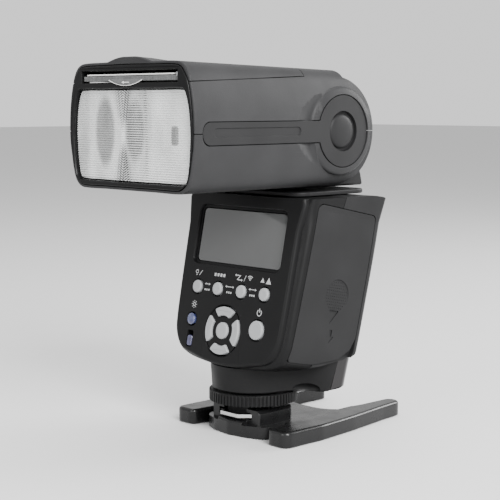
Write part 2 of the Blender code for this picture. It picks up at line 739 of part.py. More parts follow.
def add_head_shells():
    hollow = head_hollow()
    gap = GAP / 2
    keeps = {
        "head_lower_shell": box((-60, -80, 80), (60, 60, SEAM_LOW - gap)),
        "head_upper_shell": box((-60, -80, SEAM_LOW + gap), (60, 60, 200)),
        "head_top_cover": above_seam(gap, COVER_REAR - gap),
    }
    shells = {}
    for name, keep in keeps.items():
        shell = head_solid(name, look="shell")
        boolean(shell, add_object(f"{name}_keep", keep), "INTERSECT")
        if name == "head_upper_shell":
            boolean(shell, add_object("cut_upper_top", above_seam(-gap, COVER_REAR + gap)))
        boolean(shell, hollow)
        boolean(shell, add_object(f"{name}_pocket", pocket()))
        shells[name] = shell
    return shells


def trim_outline(grow):
    return rounded([
        (-59.4 - grow, SEAM_LOW - 4.1 - grow, 3.6), (3.0, SEAM_LOW - 4.1 - grow, 0),
        (3.0, SEAM_LOW + 4.1 + grow, 0), (-59.4 - grow, SEAM_LOW + 4.1 + grow, 3.6),
    ], 4)


def wall_slab(side, near, far):
    """A layer of the head's side wall, measured outwards from its surface."""
    rings = []
    for y in (-75.0, 40.0):
        ends = (side * (wall_x(y) + near), side * (wall_x(y) + far))
        rings.append([(ends[0], y, 100), (ends[1], y, 100), (ends[1], y, 145), (ends[0], y, 145)])
    return lofted(rings)


def hinge_cylinder(side, radius, low, high, segments=48):
    ends = sorted((side * low, side * high))
    return cylinder(radius, *ends, "x", centre=(TILT_Y, TILT_Z), segments=segments)


def add_head_sides(shells):
    walls = (shells["head_lower_shell"], shells["head_upper_shell"])
    for side, tag in ((-1, "left"), (1, "right")):
        ends = sorted((side * 30.0, side * 45.0))
        groove = add_object(f"cut_trim_{tag}", outline_solid(trim_outline(GAP), *ends, "x"))
        boolean(groove, add_object(f"keep_groove_{tag}", wall_slab(side, -1.5, 6.0)), "INTERSECT")
        cuts = (
            groove, add_object(f"cut_disc_{tag}", hinge_cylinder(side, 14.3, 31.3, 45.0)),
            add_object(f"cut_hinge_{tag}", hinge_cylinder(side, 5.3, 19.0, 33.0, 32)),
        )
        for wall in walls:
            for cut in cuts:
                boolean(wall, cut)
        trim = add_object(
            f"side_trim_{tag}", outline_solid(trim_outline(0.0), *ends, "x"), look="panel",
        )
        boolean(trim, add_object(f"keep_trim_{tag}", wall_slab(side, -1.2, 3.0)), "INTERSECT")
        boolean(trim, add_object(f"join_disc_{tag}", hinge_cylinder(side, 14.0, 31.6, 45.0)), "UNION")
        boolean(trim, add_object(f"keep_face_{tag}", wall_slab(side, -9.0, 0.0)), "INTERSECT")
        boolean(trim, add_object(f"cut_well_{tag}", hinge_cylinder(side, 7.9, 33.2, 45.0, 32)))
        smooth(trim)
        plug = hinge_cylinder(side, 6.7, 33.5, 34.9, 32)
        smooth(add_object(f"hinge_plug_{tag}", plug, look="panel"))


WINDOW = [
    (0.0, 138.6), (30.6, 138.4), (32.0, 137.2), (33.5, 133.0), (34.3, 128.5), (34.7, 122.0),
    (34.4, 116.4), (33.8, 110.7), (32.7, 105.8), (31.2, 104.4), (0.0, 104.0),
]
SLOT = (28.4, 141.0, 145.2)
LIP_X = -1.6


def scaled(points, dx, dz):
    """Shrinks an outline about the middle of the window."""
    return [
        (x - math.copysign(dx, x) if abs(x) > 1e-6 else x, z - math.copysign(dz, z - 121.0))
        for x, z in points
    ]


def add_head_front(shells):
    half = head_half(BEZEL_INSET)
    rings = [[(a, y, b) for a, b in mirrored(half)] for y in (HEAD_FRONT, -59.8)]
    bezel = add_object("front_bezel", lofted(rings), look="panel")
    window = outline_solid(mirrored(WINDOW), -70, -50, "y")
    boolean(bezel, add_object("cut_window_front", window))
    slot = box((-SLOT[0], -70.0, SLOT[1]), (SLOT[0], -50.0, SLOT[2]))
    boolean(bezel, add_object("cut_slot", slot))
    tab = box((LIP_X - 10.6, -70.0, 139.3), (LIP_X + 10.6, -61.8, 142.0))
    boolean(bezel, add_object("cut_tab", tab))
    lens = outline_solid(mirrored(scaled(WINDOW, 0.4, 0.4)), -61.9, -60.0, "y")
    add_object("fresnel_lens", lens, look="clear")
    arch = [(14.0, 148.0), (10.0, 149.4), (5.0, 150.3), (0.0, 150.4)]
    arch = mirrored(list(reversed(arch)))
    rings = []
    for y, share, drop in ((SHELL_FRONT, 1.0, 0.0), (-50.0, 0.95, 0.9), (-36.0, 0.9, 2.6)):
        rings.append([(a * share, y, b - drop) for a, b in arch])
    boolean(shells["head_top_cover"], add_object("join_bump", lofted(rings)), "UNION")


def add_slot_panels():
    add_object("panel_tray", box((-29.0, -59.0, 139.0), (29.0, -9.0, 140.2)), look="inner")
    wide = add_object(
        "wide_panel", box((-27.9, -63.0, 141.5), (27.9, -14.0, 142.8)), look="clear",
        origin=(0, -63.0, 141.5),
    )
    lip = box((LIP_X - 10.2, -63.5, 139.7), (LIP_X + 10.2, -62.3, 142.3))
    boolean(wide, add_object("join_lip", lip), "UNION")
    add_object(
        "bounce_card", box((-26.8, -63.0, 143.2), (26.8, -20.0, 144.1)), look="card",
        origin=(0, -63.0, 143.2),
    )


# ---------------------------------------------------------------- flash unit in the head

SCREW_AT = (27.4, 112.0)


def add_zoom():
    outer = [(-40.0, 107.5), (-40.0, 137.0), (-26, 134.5), (-14, 127.5), (-14, 117.5), (-26, 110.5)]
    inner = [(-50.0, 109.0), (-50.0, 135.5), (-26, 132.9), (-15.6, 126.8), (-15.6, 118.2), (-26, 112.1)]
    mirror = add_object(
        "reflector", outline_solid(outer, -25.5, 25.5, "x"), look="reflector", origin=(0, -40, 122.5)
    )
    lug = box((25.0, -22.0, 109.6), (30.4, -17.0, 114.4))
    boolean(mirror, add_object("join_lug", lug), "UNION")
    hole = cylinder(1.5, -30.0, -10.0, "y", centre=SCREW_AT, segments=16)
    boolean(mirror, add_object("cut_lug", hole))
    boolean(mirror, add_object("cut_reflector", outline_solid(inner, -24.0, 24.0, "x")))
    tube = cylinder(2.0, -22.8, 22.8, "x", centre=(-20.5, 122.5), segments=16)
    smooth(add_object("flash_tube", tube, look="clear"))
    screw = cylinder(1.1, -52.0, -7.6, "y", centre=SCREW_AT, segments=16)
    smooth(add_object("zoom_screw", screw, look="steel", origin=(SCREW_AT[0], -7.6, SCREW_AT[1])))
    motor = cylinder(4.0, -7.2, 3.7, "y", centre=SCREW_AT, segments=24)
    smooth(add_object("zoom_motor", motor, look="steel"))


def main():
    add_stand()
    add_foot()
    add_foot_housing()
    front = add_front_case()
    rear = add_rear_case()
    add_battery_door(front, rear)
    add_round_keys(front)
    add_pad_keys(front)
    add_display(front)
    add_case_inside()
    add_ports(rear)
    add_neck(front, rear)
    shells = add_head_shells()
    add_head_sides(shells)
    add_head_front(shells)
    add_slot_panels()
    add_zoom()


clear_scene()
PARTS = new_collection("speedlight_flash")
CUTTERS = new_collection("cutters", hidden=True)
PANEL = empty("panel_frame", PANEL_TOP, (math.pi / 2 - LEAN, 0, 0))
main()
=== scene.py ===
"""Looks of the speedlight flash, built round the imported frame."""
import json
import math

import bmesh
import bpy
from mathutils import Matrix, Vector


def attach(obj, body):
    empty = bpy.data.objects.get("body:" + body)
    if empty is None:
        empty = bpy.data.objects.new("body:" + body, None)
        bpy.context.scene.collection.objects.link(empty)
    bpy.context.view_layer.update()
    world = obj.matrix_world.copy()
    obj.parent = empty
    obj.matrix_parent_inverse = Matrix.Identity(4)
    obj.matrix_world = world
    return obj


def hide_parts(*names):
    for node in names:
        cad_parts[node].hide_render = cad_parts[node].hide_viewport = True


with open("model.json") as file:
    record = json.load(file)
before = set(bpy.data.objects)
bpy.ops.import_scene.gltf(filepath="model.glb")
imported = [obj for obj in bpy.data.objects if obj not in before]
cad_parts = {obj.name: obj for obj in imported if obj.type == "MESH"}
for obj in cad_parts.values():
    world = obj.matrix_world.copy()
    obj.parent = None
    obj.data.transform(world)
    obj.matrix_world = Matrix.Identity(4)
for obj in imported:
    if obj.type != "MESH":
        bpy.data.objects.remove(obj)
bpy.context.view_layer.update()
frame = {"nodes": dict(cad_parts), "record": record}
NODES = frame["nodes"]
MM = 0.001

# ---------------------------------------------------------------- camera, light, floor

CAMERA_AT = (0.38864, -0.36676, 0.13336)
CAMERA_AZIMUTH = 46.8
CAMERA_PITCH = -6.33
LENS_MM = 36.0 * 1323.78 / 500.0


def add_camera():
    data = bpy.data.cameras.new("camera")
    data.lens = LENS_MM
    data.sensor_width = 36.0
    data.clip_start = 0.01
    cam = bpy.data.objects.new("camera", data)
    cam.location = CAMERA_AT
    cam.rotation_euler = (math.radians(90.0 + CAMERA_PITCH), 0.0, math.radians(CAMERA_AZIMUTH))
    bpy.context.scene.collection.objects.link(cam)
    bpy.context.scene.camera = cam


def add_light(name, at, target, size, power):
    data = bpy.data.lights.new(name, "AREA")
    data.energy = power
    data.shape = "RECTANGLE"
    data.size = data.size_y = size
    lamp = bpy.data.objects.new(name, data)
    lamp.location = at
    lamp.rotation_euler = (Vector(target) - Vector(at)).to_track_quat("-Z", "Y").to_euler()
    bpy.context.scene.collection.objects.link(lamp)


def add_world(strength):
    world = bpy.data.worlds.new("world")
    bpy.context.scene.world = world
    world.use_nodes = True
    background = world.node_tree.nodes["Background"]
    background.inputs["Color"].default_value = (1, 1, 1, 1)
    background.inputs["Strength"].default_value = strength


def add_floor():
    bm = bmesh.new()
    bmesh.ops.create_grid(bm, x_segments=2, y_segments=2, size=6.0)
    mesh = bpy.data.meshes.new("floor")
    bm.to_mesh(mesh)
    bm.free()
    floor = bpy.data.objects.new("floor", mesh)
    floor.location = (0, 0, -0.0002)
    bpy.context.scene.collection.objects.link(floor)
    mat = bpy.data.materials.new("floor")
    mat.use_nodes = True
    bsdf = mat.node_tree.nodes["Principled BSDF"]
    bsdf.inputs["Base Color"].default_value = (0.55, 0.55, 0.55, 1)
    bsdf.inputs["Roughness"].default_value = 0.9
    mesh.materials.append(mat)


# ---------------------------------------------------------------- materials

def shader(name):
    mat = bpy.data.materials.new(name)
    mat.use_nodes = True
    tree = mat.node_tree
    return mat, tree, tree.nodes["Principled BSDF"]


def noise(tree, scale, detail=2.0, stretch=None):
    coords = tree.nodes.new("ShaderNodeTexCoord")
    out = coords.outputs["Object"]
    if stretch:
        mapping = tree.nodes.new("ShaderNodeMapping")
        mapping.inputs["Scale"].default_value = stretch
        tree.links.new(out, mapping.inputs["Vector"])
        out = mapping.outputs["Vector"]
    tex = tree.nodes.new("ShaderNodeTexNoise")
    tex.inputs["Scale"].default_value = scale
    tex.inputs["Detail"].default_value = detail
    tree.links.new(out, tex.inputs["Vector"])
    return tex.outputs["Fac"]


def remap(tree, value, low, high, start=0.3, end=0.7):
    node = tree.nodes.new("ShaderNodeMapRange")
    node.inputs["From Min"].default_value = start
    node.inputs["From Max"].default_value = end
    node.inputs["To Min"].default_value = low
    node.inputs["To Max"].default_value = high
    tree.links.new(value, node.inputs["Value"])
    return node.outputs["Result"]


def colour_ramp(tree, value, dark, light, start=0.3, end=0.7):
    node = tree.nodes.new("ShaderNodeValToRGB")
    node.color_ramp.elements[0].position = start
    node.color_ramp.elements[1].position = end
    node.color_ramp.elements[0].color = (*dark, 1.0)
    node.color_ramp.elements[1].color = (*light, 1.0)
    tree.links.new(value, node.inputs["Fac"])
    return node.outputs["Color"]


def add_bump(tree, bsdf, height, distance, strength=1.0):
    node = tree.nodes.new("ShaderNodeBump")
    node.inputs["Distance"].default_value = distance
    node.inputs["Strength"].default_value = strength
    tree.links.new(height, node.inputs["Height"])
    tree.links.new(node.outputs["Normal"], bsdf.inputs["Normal"])


def dress(tree, bsdf, tint, rough, coat=None):
    """Wires colour and roughness, and a clear coat given as (weight, roughness)."""
    tree.links.new(tint, bsdf.inputs["Base Color"])
    tree.links.new(rough, bsdf.inputs["Roughness"])
    if coat:
        bsdf.inputs["Coat Weight"].default_value, bsdf.inputs["Coat Roughness"].default_value = coat


def plastic(name, colour, rough=0.5, grain=2600.0, depth=0.00003, vary=0.12, coat=0.0, gloss=0.1):
    """Moulded plastic: fine spark-eroded grain, faint mottling and uneven sheen."""
    mat, tree, bsdf = shader(name)
    dark = [c * (1.0 - vary) for c in colour]
    light = [c * (1.0 + vary) for c in colour]
    mottle = colour_ramp(tree, noise(tree, 55.0, 4.0), dark, light)
    sheen = remap(tree, noise(tree, 140.0, 3.0), rough - 0.05, rough + 0.06)
    dress(tree, bsdf, mottle, sheen, (coat, 0.15) if coat else None)
    add_bump(tree, bsdf, noise(tree, grain, 2.0), depth)
    bsdf.inputs["Specular IOR Level"].default_value = gloss
    return mat


def metal(name, colour, rough=0.25, stretch=(1.0, 1.0, 1.0), grain=900.0):
    mat, tree, bsdf = shader(name)
    bsdf.inputs["Metallic"].default_value = 1.0
    brushed = noise(tree, grain, 3.0, stretch)
    stain = colour_ramp(tree, noise(tree, 120.0, 3.0), [c * 0.86 for c in colour], colour)
    dress(tree, bsdf, stain, remap(tree, brushed, rough * 0.75, rough * 1.35))
    add_bump(tree, bsdf, brushed, 0.000015)
    return mat


def lamp_plastic(name, deep, pale):
    """Translucent bluish lens over a lamp."""
    mat, tree, bsdf = shader(name)
    cloud = colour_ramp(tree, noise(tree, 420.0, 2.0), deep, pale, 0.35, 0.65)
    dress(tree, bsdf, cloud, remap(tree, noise(tree, 900.0), 0.12, 0.22), (0.8, 0.06))
    add_bump(tree, bsdf, noise(tree, 700.0), 0.00004)
    return mat


LOOKS = {
    "shell": plastic("shell_plastic", (0.021, 0.021, 0.0217), 0.45, 2400.0, 0.00003),
    "trim": plastic("trim_plastic", (0.0135, 0.0135, 0.0139), 0.48, 2400.0, 0.000025),
    "panel": plastic("panel_plastic", (0.0055, 0.0055, 0.0057), 0.42, 2600.0, 0.000025),
    "case": plastic("case_plastic", (0.0125, 0.0125, 0.0129), 0.44, 2500.0, 0.00003),
    "housing": plastic("housing_plastic", (0.008, 0.008, 0.0082), 0.42, 2500.0, 0.00003),
    "bezel": plastic("bezel_plastic", (0.005, 0.005, 0.0052), 0.33, 3000.0, 0.000015),
    "stand": plastic("stand_plastic", (0.0045, 0.0045, 0.0047), 0.27, 2200.0, 0.00002, gloss=0.3),
    "rubber": plastic("soft_plastic", (0.016, 0.016, 0.017), 0.66, 1800.0, 0.00004),
    "button": plastic("button_plastic", (0.24, 0.245, 0.25), 0.42, 2800.0, 0.000015, 0.04),
    "arrow_and_painted_rim_highlight": plastic("printed_mark", (0.30, 0.305, 0.305), 0.55, 3000.0, 0.00001, 0.05),
    "smoke": plastic("smoke_window", (0.005, 0.004, 0.0045), 0.16, 400.0, 0.00001, 0.2, 0.5),
    "inner": plastic("inner_plastic", (0.02, 0.02, 0.021), 0.6, 1500.0, 0.00003),
    "card": plastic("card_plastic", (0.6, 0.6, 0.585), 0.5, 2400.0, 0.00002, 0.03),
    "board": plastic("board_mask", (0.008, 0.014, 0.010), 0.35, 300.0, 0.00004, 0.3, 0.2),
    "sleeve": plastic("cell_sleeve", (0.3, 0.33, 0.36), 0.3, 500.0, 0.00001, 0.1, 0.4),
    "can": plastic("can_sleeve", (0.03, 0.035, 0.08), 0.35, 500.0, 0.00001, 0.15, 0.3),
    "chrome": metal("chrome_plate", (0.6, 0.6, 0.595), 0.16, (1.0, 8.0, 1.0)),
    "steel": metal("turned_steel", (0.68, 0.68, 0.67), 0.28, (1.0, 10.0, 1.0)),
    "brass": metal("turned_brass", (0.72, 0.52, 0.24), 0.3, (1.0, 1.0, 12.0)),
    "mirror": metal("reflector_mirror", (0.9, 0.9, 0.9), 0.12, (1.0, 1.0, 4.0)),
    "pilot": lamp_plastic("pilot_lens", (0.02, 0.024, 0.065), (0.045, 0.055, 0.13)),
    "sensor": lamp_plastic("sensor_lens", (0.018, 0.018, 0.05), (0.045, 0.044, 0.1)),
}

KEPT_LOOKS = {
    "tripod_insert": "brass", "lock_pin": "steel", "contact_pin": "brass",
    "display_module": "inner", "control_board": "board", "main_board": "board",
    "main_capacitor": "can", "battery_tray": "inner", "battery_contacts": "steel",
    "battery_1": "sleeve", "battery_2": "sleeve", "battery_3": "sleeve", "battery_4": "sleeve",
    "sync_socket": "inner", "swivel_nut": "steel", "hinge_pin_left": "steel",
    "hinge_pin_right": "steel", "panel_tray": "inner", "zoom_motor": "steel",
    "reflector": "mirror", "flash_tube": "card", "zoom_screw": "steel", "door_hinge_strip": "steel",
}

# ---------------------------------------------------------------- mesh helpers, in millimetres

LEAN = math.radians(11.92)
SIN_LEAN, COS_LEAN = math.sin(LEAN), math.cos(LEAN)
PANEL_AT = (-4.4, 96.0)
GRIP_AT = (13.0, 57.3)
PANEL = Matrix((
    (1.0, 0.0, 0.0, 0.0), (0.0, SIN_LEAN, -COS_LEAN, PANEL_AT[0]),
    (0.0, COS_LEAN, SIN_LEAN, PANEL_AT[1]), (0.0, 0.0, 0.0, 1.0),
))
BODY_OF = {}
for body_name, members in frame["record"]["behaviour"]["bodies"].items():
    for member in members:
        BODY_OF[member] = body_name


def placed(bm, matrix):
    bmesh.ops.transform(bm, matrix=matrix, verts=bm.verts)
    return bm


def temp_object(bm):
    bmesh.ops.recalc_face_normals(bm, faces=bm.faces)
    mesh = bpy.data.meshes.new("work")
    bm.to_mesh(mesh)
    bm.free()
    obj = bpy.data.objects.new("work", mesh)
    bpy.context.scene.collection.objects.link(obj)
    return obj


def evaluated(obj):
    graph = bpy.context.evaluated_depsgraph_get()
    bm = bmesh.new()
    bm.from_mesh(obj.evaluated_get(graph).to_mesh())
    return bm


def drop(*objs):
    for obj in objs:
        mesh = obj.data
        bpy.data.objects.remove(obj, do_unlink=True)
        bpy.data.meshes.remove(mesh)


def combine(bm, other, operation):
    a, b = temp_object(bm), temp_object(other)
    mod = a.modifiers.new("cut", "BOOLEAN")
    mod.operation = operation
    mod.solver = "EXACT"
    mod.object = b
    out = evaluated(a)
    drop(a, b)
    return out


def cut(bm, *others):
    for other in others:
        bm = combine(bm, other, "DIFFERENCE")
    return bm


def join(bm, *others):
    for other in others:
        bm = combine(bm, other, "UNION")
    return bm


def keep(bm, other):
    return combine(bm, other, "INTERSECT")


def add_loose(bm, other):
    """Adds another closed shape to the same piece without joining their surfaces."""
    mesh = bpy.data.meshes.new("work")
    other.to_mesh(mesh)
    other.free()
    bm.from_mesh(mesh)
    bpy.data.meshes.remove(mesh)
    return bm


def softened(bm, width, segments=2, angle=38.0):
    """Rounds the sharp edges of a shape."""
    bmesh.ops.remove_doubles(bm, verts=bm.verts, dist=0.0005)
    bmesh.ops.dissolve_degenerate(bm, edges=bm.edges, dist=0.0005)
    obj = temp_object(bm)
    mod = obj.modifiers.new("edge", "BEVEL")
    mod.width = width
    mod.segments = segments
    mod.limit_method = "ANGLE"
    mod.angle_limit = math.radians(angle)
    mod.harden_normals = False
    mod.use_clamp_overlap = True
    out = evaluated(obj)
    drop(obj)
    return out


def piece(name, bm, look, body, replaces=(), local=None, angle=32.0):
    """Makes a visible piece from a shape in millimetres."""
    if local is not None:
        placed(bm, local)
    bmesh.ops.scale(bm, verts=bm.verts, vec=(MM, MM, MM))
    bmesh.ops.recalc_face_normals(bm, faces=bm.faces)
    mesh = bpy.data.meshes.new(name)
    bm.to_mesh(mesh)
    bm.free()
    mesh.shade_smooth()
    mesh.set_sharp_from_angle(angle=math.radians(angle))
    obj = bpy.data.objects.new(name, mesh)
    bpy.context.scene.collection.objects.link(obj)
    mesh.materials.append(LOOKS[look] if isinstance(look, str) else look)
    mod = obj.modifiers.new("normals", "WEIGHTED_NORMAL")
    mod.keep_sharp = True
    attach(obj, body)
    if replaces:
        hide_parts(*replaces)
    return obj


def stand_in(node, bm, look, local=None, angle=32.0):
    """A detailed piece that takes the place of one CAD node."""
    return piece(f"{node}_look", bm, look, BODY_OF[node], (node,), local, angle)


def on_axis(axis, a, b, c):
    """The point at (a, b) across an axis and at c along it."""
    return {"x": (c, a, b), "y": (a, c, b), "z": (a, b, c)}[axis]


def prism(points, low, high, axis="z"):
    bm = bmesh.new()
    rows = [[bm.verts.new(on_axis(axis, a, b, c)) for a, b in points] for c in (low, high)]
    close_rows(bm, rows)
    return bm


def close_rows(bm, rows):
    count = len(rows[0])
    for lower, upper in zip(rows, rows[1:]):
        for i in range(count):
            j = (i + 1) % count
            bm.faces.new([lower[i], lower[j], upper[j], upper[i]])
    bm.faces.new(rows[0])
    bm.faces.new(rows[-1])


def lofted(rings):
    bm = bmesh.new()
    close_rows(bm, [[bm.verts.new(point) for point in ring] for ring in rings])
    return bm


def block(low, high):
    (x0, y0, z0), (x1, y1, z1) = low, high
    return prism([(x0, y0), (x1, y0), (x1, y1), (x0, y1)], z0, z1)


def circle_points(centre, radius, segments):
    turns = [math.tau * i / segments for i in range(segments)]
    return [(centre[0] + radius * math.cos(t), centre[1] + radius * math.sin(t)) for t in turns]


def round_bar(radius, low, high, axis="z", centre=(0, 0), segments=32):
    return prism(circle_points(centre, radius, segments), low, high, axis)


def turned(profile, axis="z", centre=(0, 0), segments=48):
    """A closed profile (radius, height) turned about an axis; ends at radius 0 close it."""
    bm = bmesh.new()
    rows = []
    for r, c in profile:
        rows.append([bm.verts.new(on_axis(axis, a, b, c)) for a, b in circle_points(centre, r, segments)])
    for lower, upper in zip(rows, rows[1:] + rows[:1]):
        for i in range(segments):
            j = (i + 1) % segments
            bm.faces.new([lower[i], lower[j], upper[j], upper[i]])
    bmesh.ops.remove_doubles(bm, verts=bm.verts, dist=0.0001)
    return bm


def rounded(corners, segments=4):
    out = []
    count = len(corners)
    for i, (a, b, radius) in enumerate(corners):
        here = Vector((a, b))
        if radius <= 0:
            out.append((a, b))
            continue
        before = Vector(corners[i - 1][:2]) - here
        after = Vector(corners[(i + 1) % count][:2]) - here
        half = before.angle(after) / 2
        reach = radius / math.tan(half)
        centre = here + (before.normalized() + after.normalized()).normalized() * (radius / math.sin(half))
        start = here + before.normalized() * reach - centre
        end = here + after.normalized() * reach - centre
        for k in range(segments + 1):
            t = k / segments
            mix = (start * (1 - t) + end * t).normalized() * radius
            out.append(tuple(centre + mix))
    return out


def mirrored(half):
    left = [(-p[0], *p[1:]) for p in reversed(half) if abs(p[0]) > 1e-6]
    return list(half) + left


def arc(centre, radius, start, end, steps):
    out = []
    for k in range(steps + 1):
        angle = math.radians(start + (end - start) * k / steps)
        out.append((centre[0] + radius * math.cos(angle), centre[1] + radius * math.sin(angle)))
    return out


def smoothed(points, per=4):
    """A closed smooth curve through the points."""
    out = []
    count = len(points)
    for i in range(count):
        p0, p1, p2, p3 = (Vector(points[(i + k) % count]) for k in (-1, 0, 1, 2))
        span = (p2 - p1).length
        m1 = (p2 - p0) * (span / max((p2 - p0).length, 1e-9))
        m2 = (p3 - p1) * (span / max((p3 - p1).length, 1e-9))
        for k in range(per):
            t = k / per
            h00, h10 = 2 * t**3 - 3 * t**2 + 1, t**3 - 2 * t**2 + t
            h01, h11 = -2 * t**3 + 3 * t**2, t**3 - t**2
            out.append(tuple(p1 * h00 + m1 * h10 + p2 * h01 + m2 * h11))
    return out


def spaced(points, count):
    """Resamples a closed outline into equally spaced points, starting at its first point."""
    loop = [Vector(p) for p in points] + [Vector(points[0])]
    steps = [0.0]
    for a, b in zip(loop, loop[1:]):
        steps.append(steps[-1] + (b - a).length)
    out, k = [], 0
    for i in range(count):
        want = steps[-1] * i / count
        while steps[k + 1] < want:
            k += 1
        t = (want - steps[k]) / max(steps[k + 1] - steps[k], 1e-9)
        out.append(tuple(loop[k].lerp(loop[k + 1], t)))
    return out


def shrunk(points, inset):
    """Moves an outline inwards along its corner directions."""
    count = len(points)
    area = sum(points[i - 1][0] * points[i][1] - points[i][0] * points[i - 1][1] for i in range(count))
    turn = 1.0 if area > 0 else -1.0
    out = []
    for i in range(count):
        here = Vector(points[i])
        a = (here - Vector(points[i - 1])).normalized()
        b = (Vector(points[(i + 1) % count]) - here).normalized()
        na, nb = Vector((-a.y, a.x)) * turn, Vector((-b.y, b.x)) * turn
        mid = na + nb
        if mid.length < 1e-6:
            mid = na
        mid.normalize()
        out.append(tuple(here + mid * (inset / max(mid.dot(na), 0.5))))
    return out


def cushion(outline, low, high, r_low=0.0, r_high=0.0, axis="z", steps=3):
    """A prism whose rims are rounded."""
    levels = []
    if r_low > 0:
        for k in range(steps):
            a = math.pi / 2 * k / steps
            levels.append((r_low * (1 - math.sin(a)), low + r_low * (1 - math.cos(a))))
    levels.append((0.0, low + r_low))
    levels.append((0.0, high - r_high))
    if r_high > 0:
        for k in range(1, steps + 1):
            a = math.pi / 2 * k / steps
            levels.append((r_high * (1 - math.cos(a)), high - r_high * (1 - math.sin(a))))
    rings = []
    for inset, level in levels:
        points = shrunk(outline, inset) if inset > 1e-6 else outline
        rings.append([on_axis(axis, a, b, level) for a, b in points])
    return lofted(rings)


# ---------------------------------------------------------------- stand and foot

PIN_AT = (-3.6, 1.8)


def stand_outline():
    half = [
        (0.0, -14.3, 0), (9.5, -12.9, 8.0), (16.0, -10.3, 2.5), (18.6, -7.0, 2.0), (19.4, -2.0, 1.0),
        (21.4, -2.0, 1.0), (22.0, -13.7, 2.6), (33.0, -13.9, 3.2), (33.0, 7.0, 0), (30.6, 28.0, 0),
        (26.8, 51.0, 0), (25.2, 63.7, 3.3), (18.2, 63.7, 3.3), (18.0, 31.0, 14.0), (2.0, 31.0, 0),
        (0.0, 31.0, 0),
    ]
    return mirrored(rounded(half, 5))


def make_stand():
    base = cushion(spaced(stand_outline(), 260), 0.0, 6.3, 0.5, 1.3, steps=4)
    cuts = []
    for side in (-1, 1):
        low = [
            (7.0, -20.0, 0), (17.2, -20.0, 0), (20.2, -3.0, 6), (20.6, 10.0, 0), (18.3, 32.0, 0),
            (18.0, 46.0, 0), (7.0, 46.0, 0),
        ]
        plan = [(side * a, b) for a, b in rounded(low)]
        cuts.append(prism(plan, 4.9, 8.0))
    cuts.append(block((-7.5, 9.5, 4.9), (7.5, 33.0, 8.0)))
    base = cut(base, *cuts)
    block_plan = rounded([(-14, -10, 1.2), (14, -10, 1.2), (14, 9, 1.5), (-14, 9, 1.5)])
    base = join(base, prism(block_plan, 3.0, 11.0))
    base = cut(base, block((-9.6, -12.0, 6.8), (9.6, 7.0, 9.5)), block((-6.7, -12.0, 9.0), (6.7, 12.0, 12.0)))
    base = cut(base, round_bar(1.9, 4.6, 9.0, centre=PIN_AT, segments=24))
    base = cut(base, round_bar(5.3, -1.0, 4.9, centre=(0.0, -6.0), segments=40))
    for side in (-1, 1):
        wedge = [(side * a, b) for a, b in ((14.5, 9.2), (14.5, 12.0), (11.6, 12.0))]
        base = cut(base, prism(wedge, -13, 12, "y"))
        relief = ((24.5, 3.0), (29.0, 3.0), (24.0, 54.0), (21.0, 54.0))
        relief = rounded([(side * a, b, 1.5) for a, b in relief])
        base = cut(base, prism(relief, -1.0, 3.6))
    stand_in("stand_base", softened(base, 0.42, 2), "stand")


def make_shoe():
    """Chromed plate that slides into the stand's shoe, and the dark stem above it."""
    outline = rounded([
        (-9.3, -9.3, 0.4), (-5.1, -13.5, 0.4), (5.1, -13.5, 0.4), (9.3, -9.3, 0.4), (9.3, 5.0, 1.5),
        (-9.3, 5.0, 1.5),
    ], 3)
    plate = cushion(outline, 7.5, 9.1, 0.2, 0.25)
    pin_hole = round_bar(1.7, 6.0, 14.2, centre=PIN_AT)
    plate = cut(plate, pin_hole.copy(), round_bar(2.1, 6.0, 9.3, centre=(0, -4.4)))
    stand_in("shoe_plate", plate, "chrome")
    stem = join(block((-6.2, -8.6, 9.0), (6.2, 4.6, 12.4)), round_bar(6.8, 12.0, 17.8, segments=48))
    piece("shoe_stem", cut(softened(stem, 0.3), pin_hole), "panel", "flash_body", ())


def make_lock_ring():
    ribs = 70
    rim, low = [], 0.62
    for i in range(ribs):
        start = math.tau * i / ribs
        for share, depth in ((0.0, low), (0.14, 0.0), (0.52, 0.0), (0.66, low)):
            radius = 18.1 - depth
            angle = start + math.tau / ribs * share
            rim.append((radius * math.cos(angle), radius * math.sin(angle)))
    ring = cushion(rim, 12.9, 17.4, 0.35, 0.35, steps=2)
    dish = turned([(0, 16.2), (14.8, 16.2), (15.6, 16.7), (15.9, 18.2), (0, 18.2)], segments=64)
    ring = cut(ring, round_bar(7.2, 12.0, 18.0, segments=48), dish)
    stand_in("lock_ring", ring, "housing")


def seam_y(z):
    return 15.3 + 0.25 * (z - 17.6)


def housing_plan(inset, wide, rear):
    radius = 17.5 - inset
    side = wide - inset
    half = arc((0, 0), radius, -90, -20, 12)
    half += [
        (radius * 0.99 + 0.2, -1.4), (radius + 1.3, 2.2 + inset * 0.5), (side - 8.3, 5.4 + inset),
        (side - 4.4, 8.3 + inset), (side - 1.6, 11.3 + inset * 0.5), (side - 0.35, min(13.4, rear - 0.4)),
        (side, rear),
    ]
    return mirrored(half + [(0.0, rear)])


def under_case(bottom):
    return [
        (-30.0, bottom), (-30.0, 28.3), (-8.0, 28.3), (20.5, 30.3), (25.8, 32.2), (26.9, 33.6),
        (35.0, 33.6), (35.0, bottom),
    ]


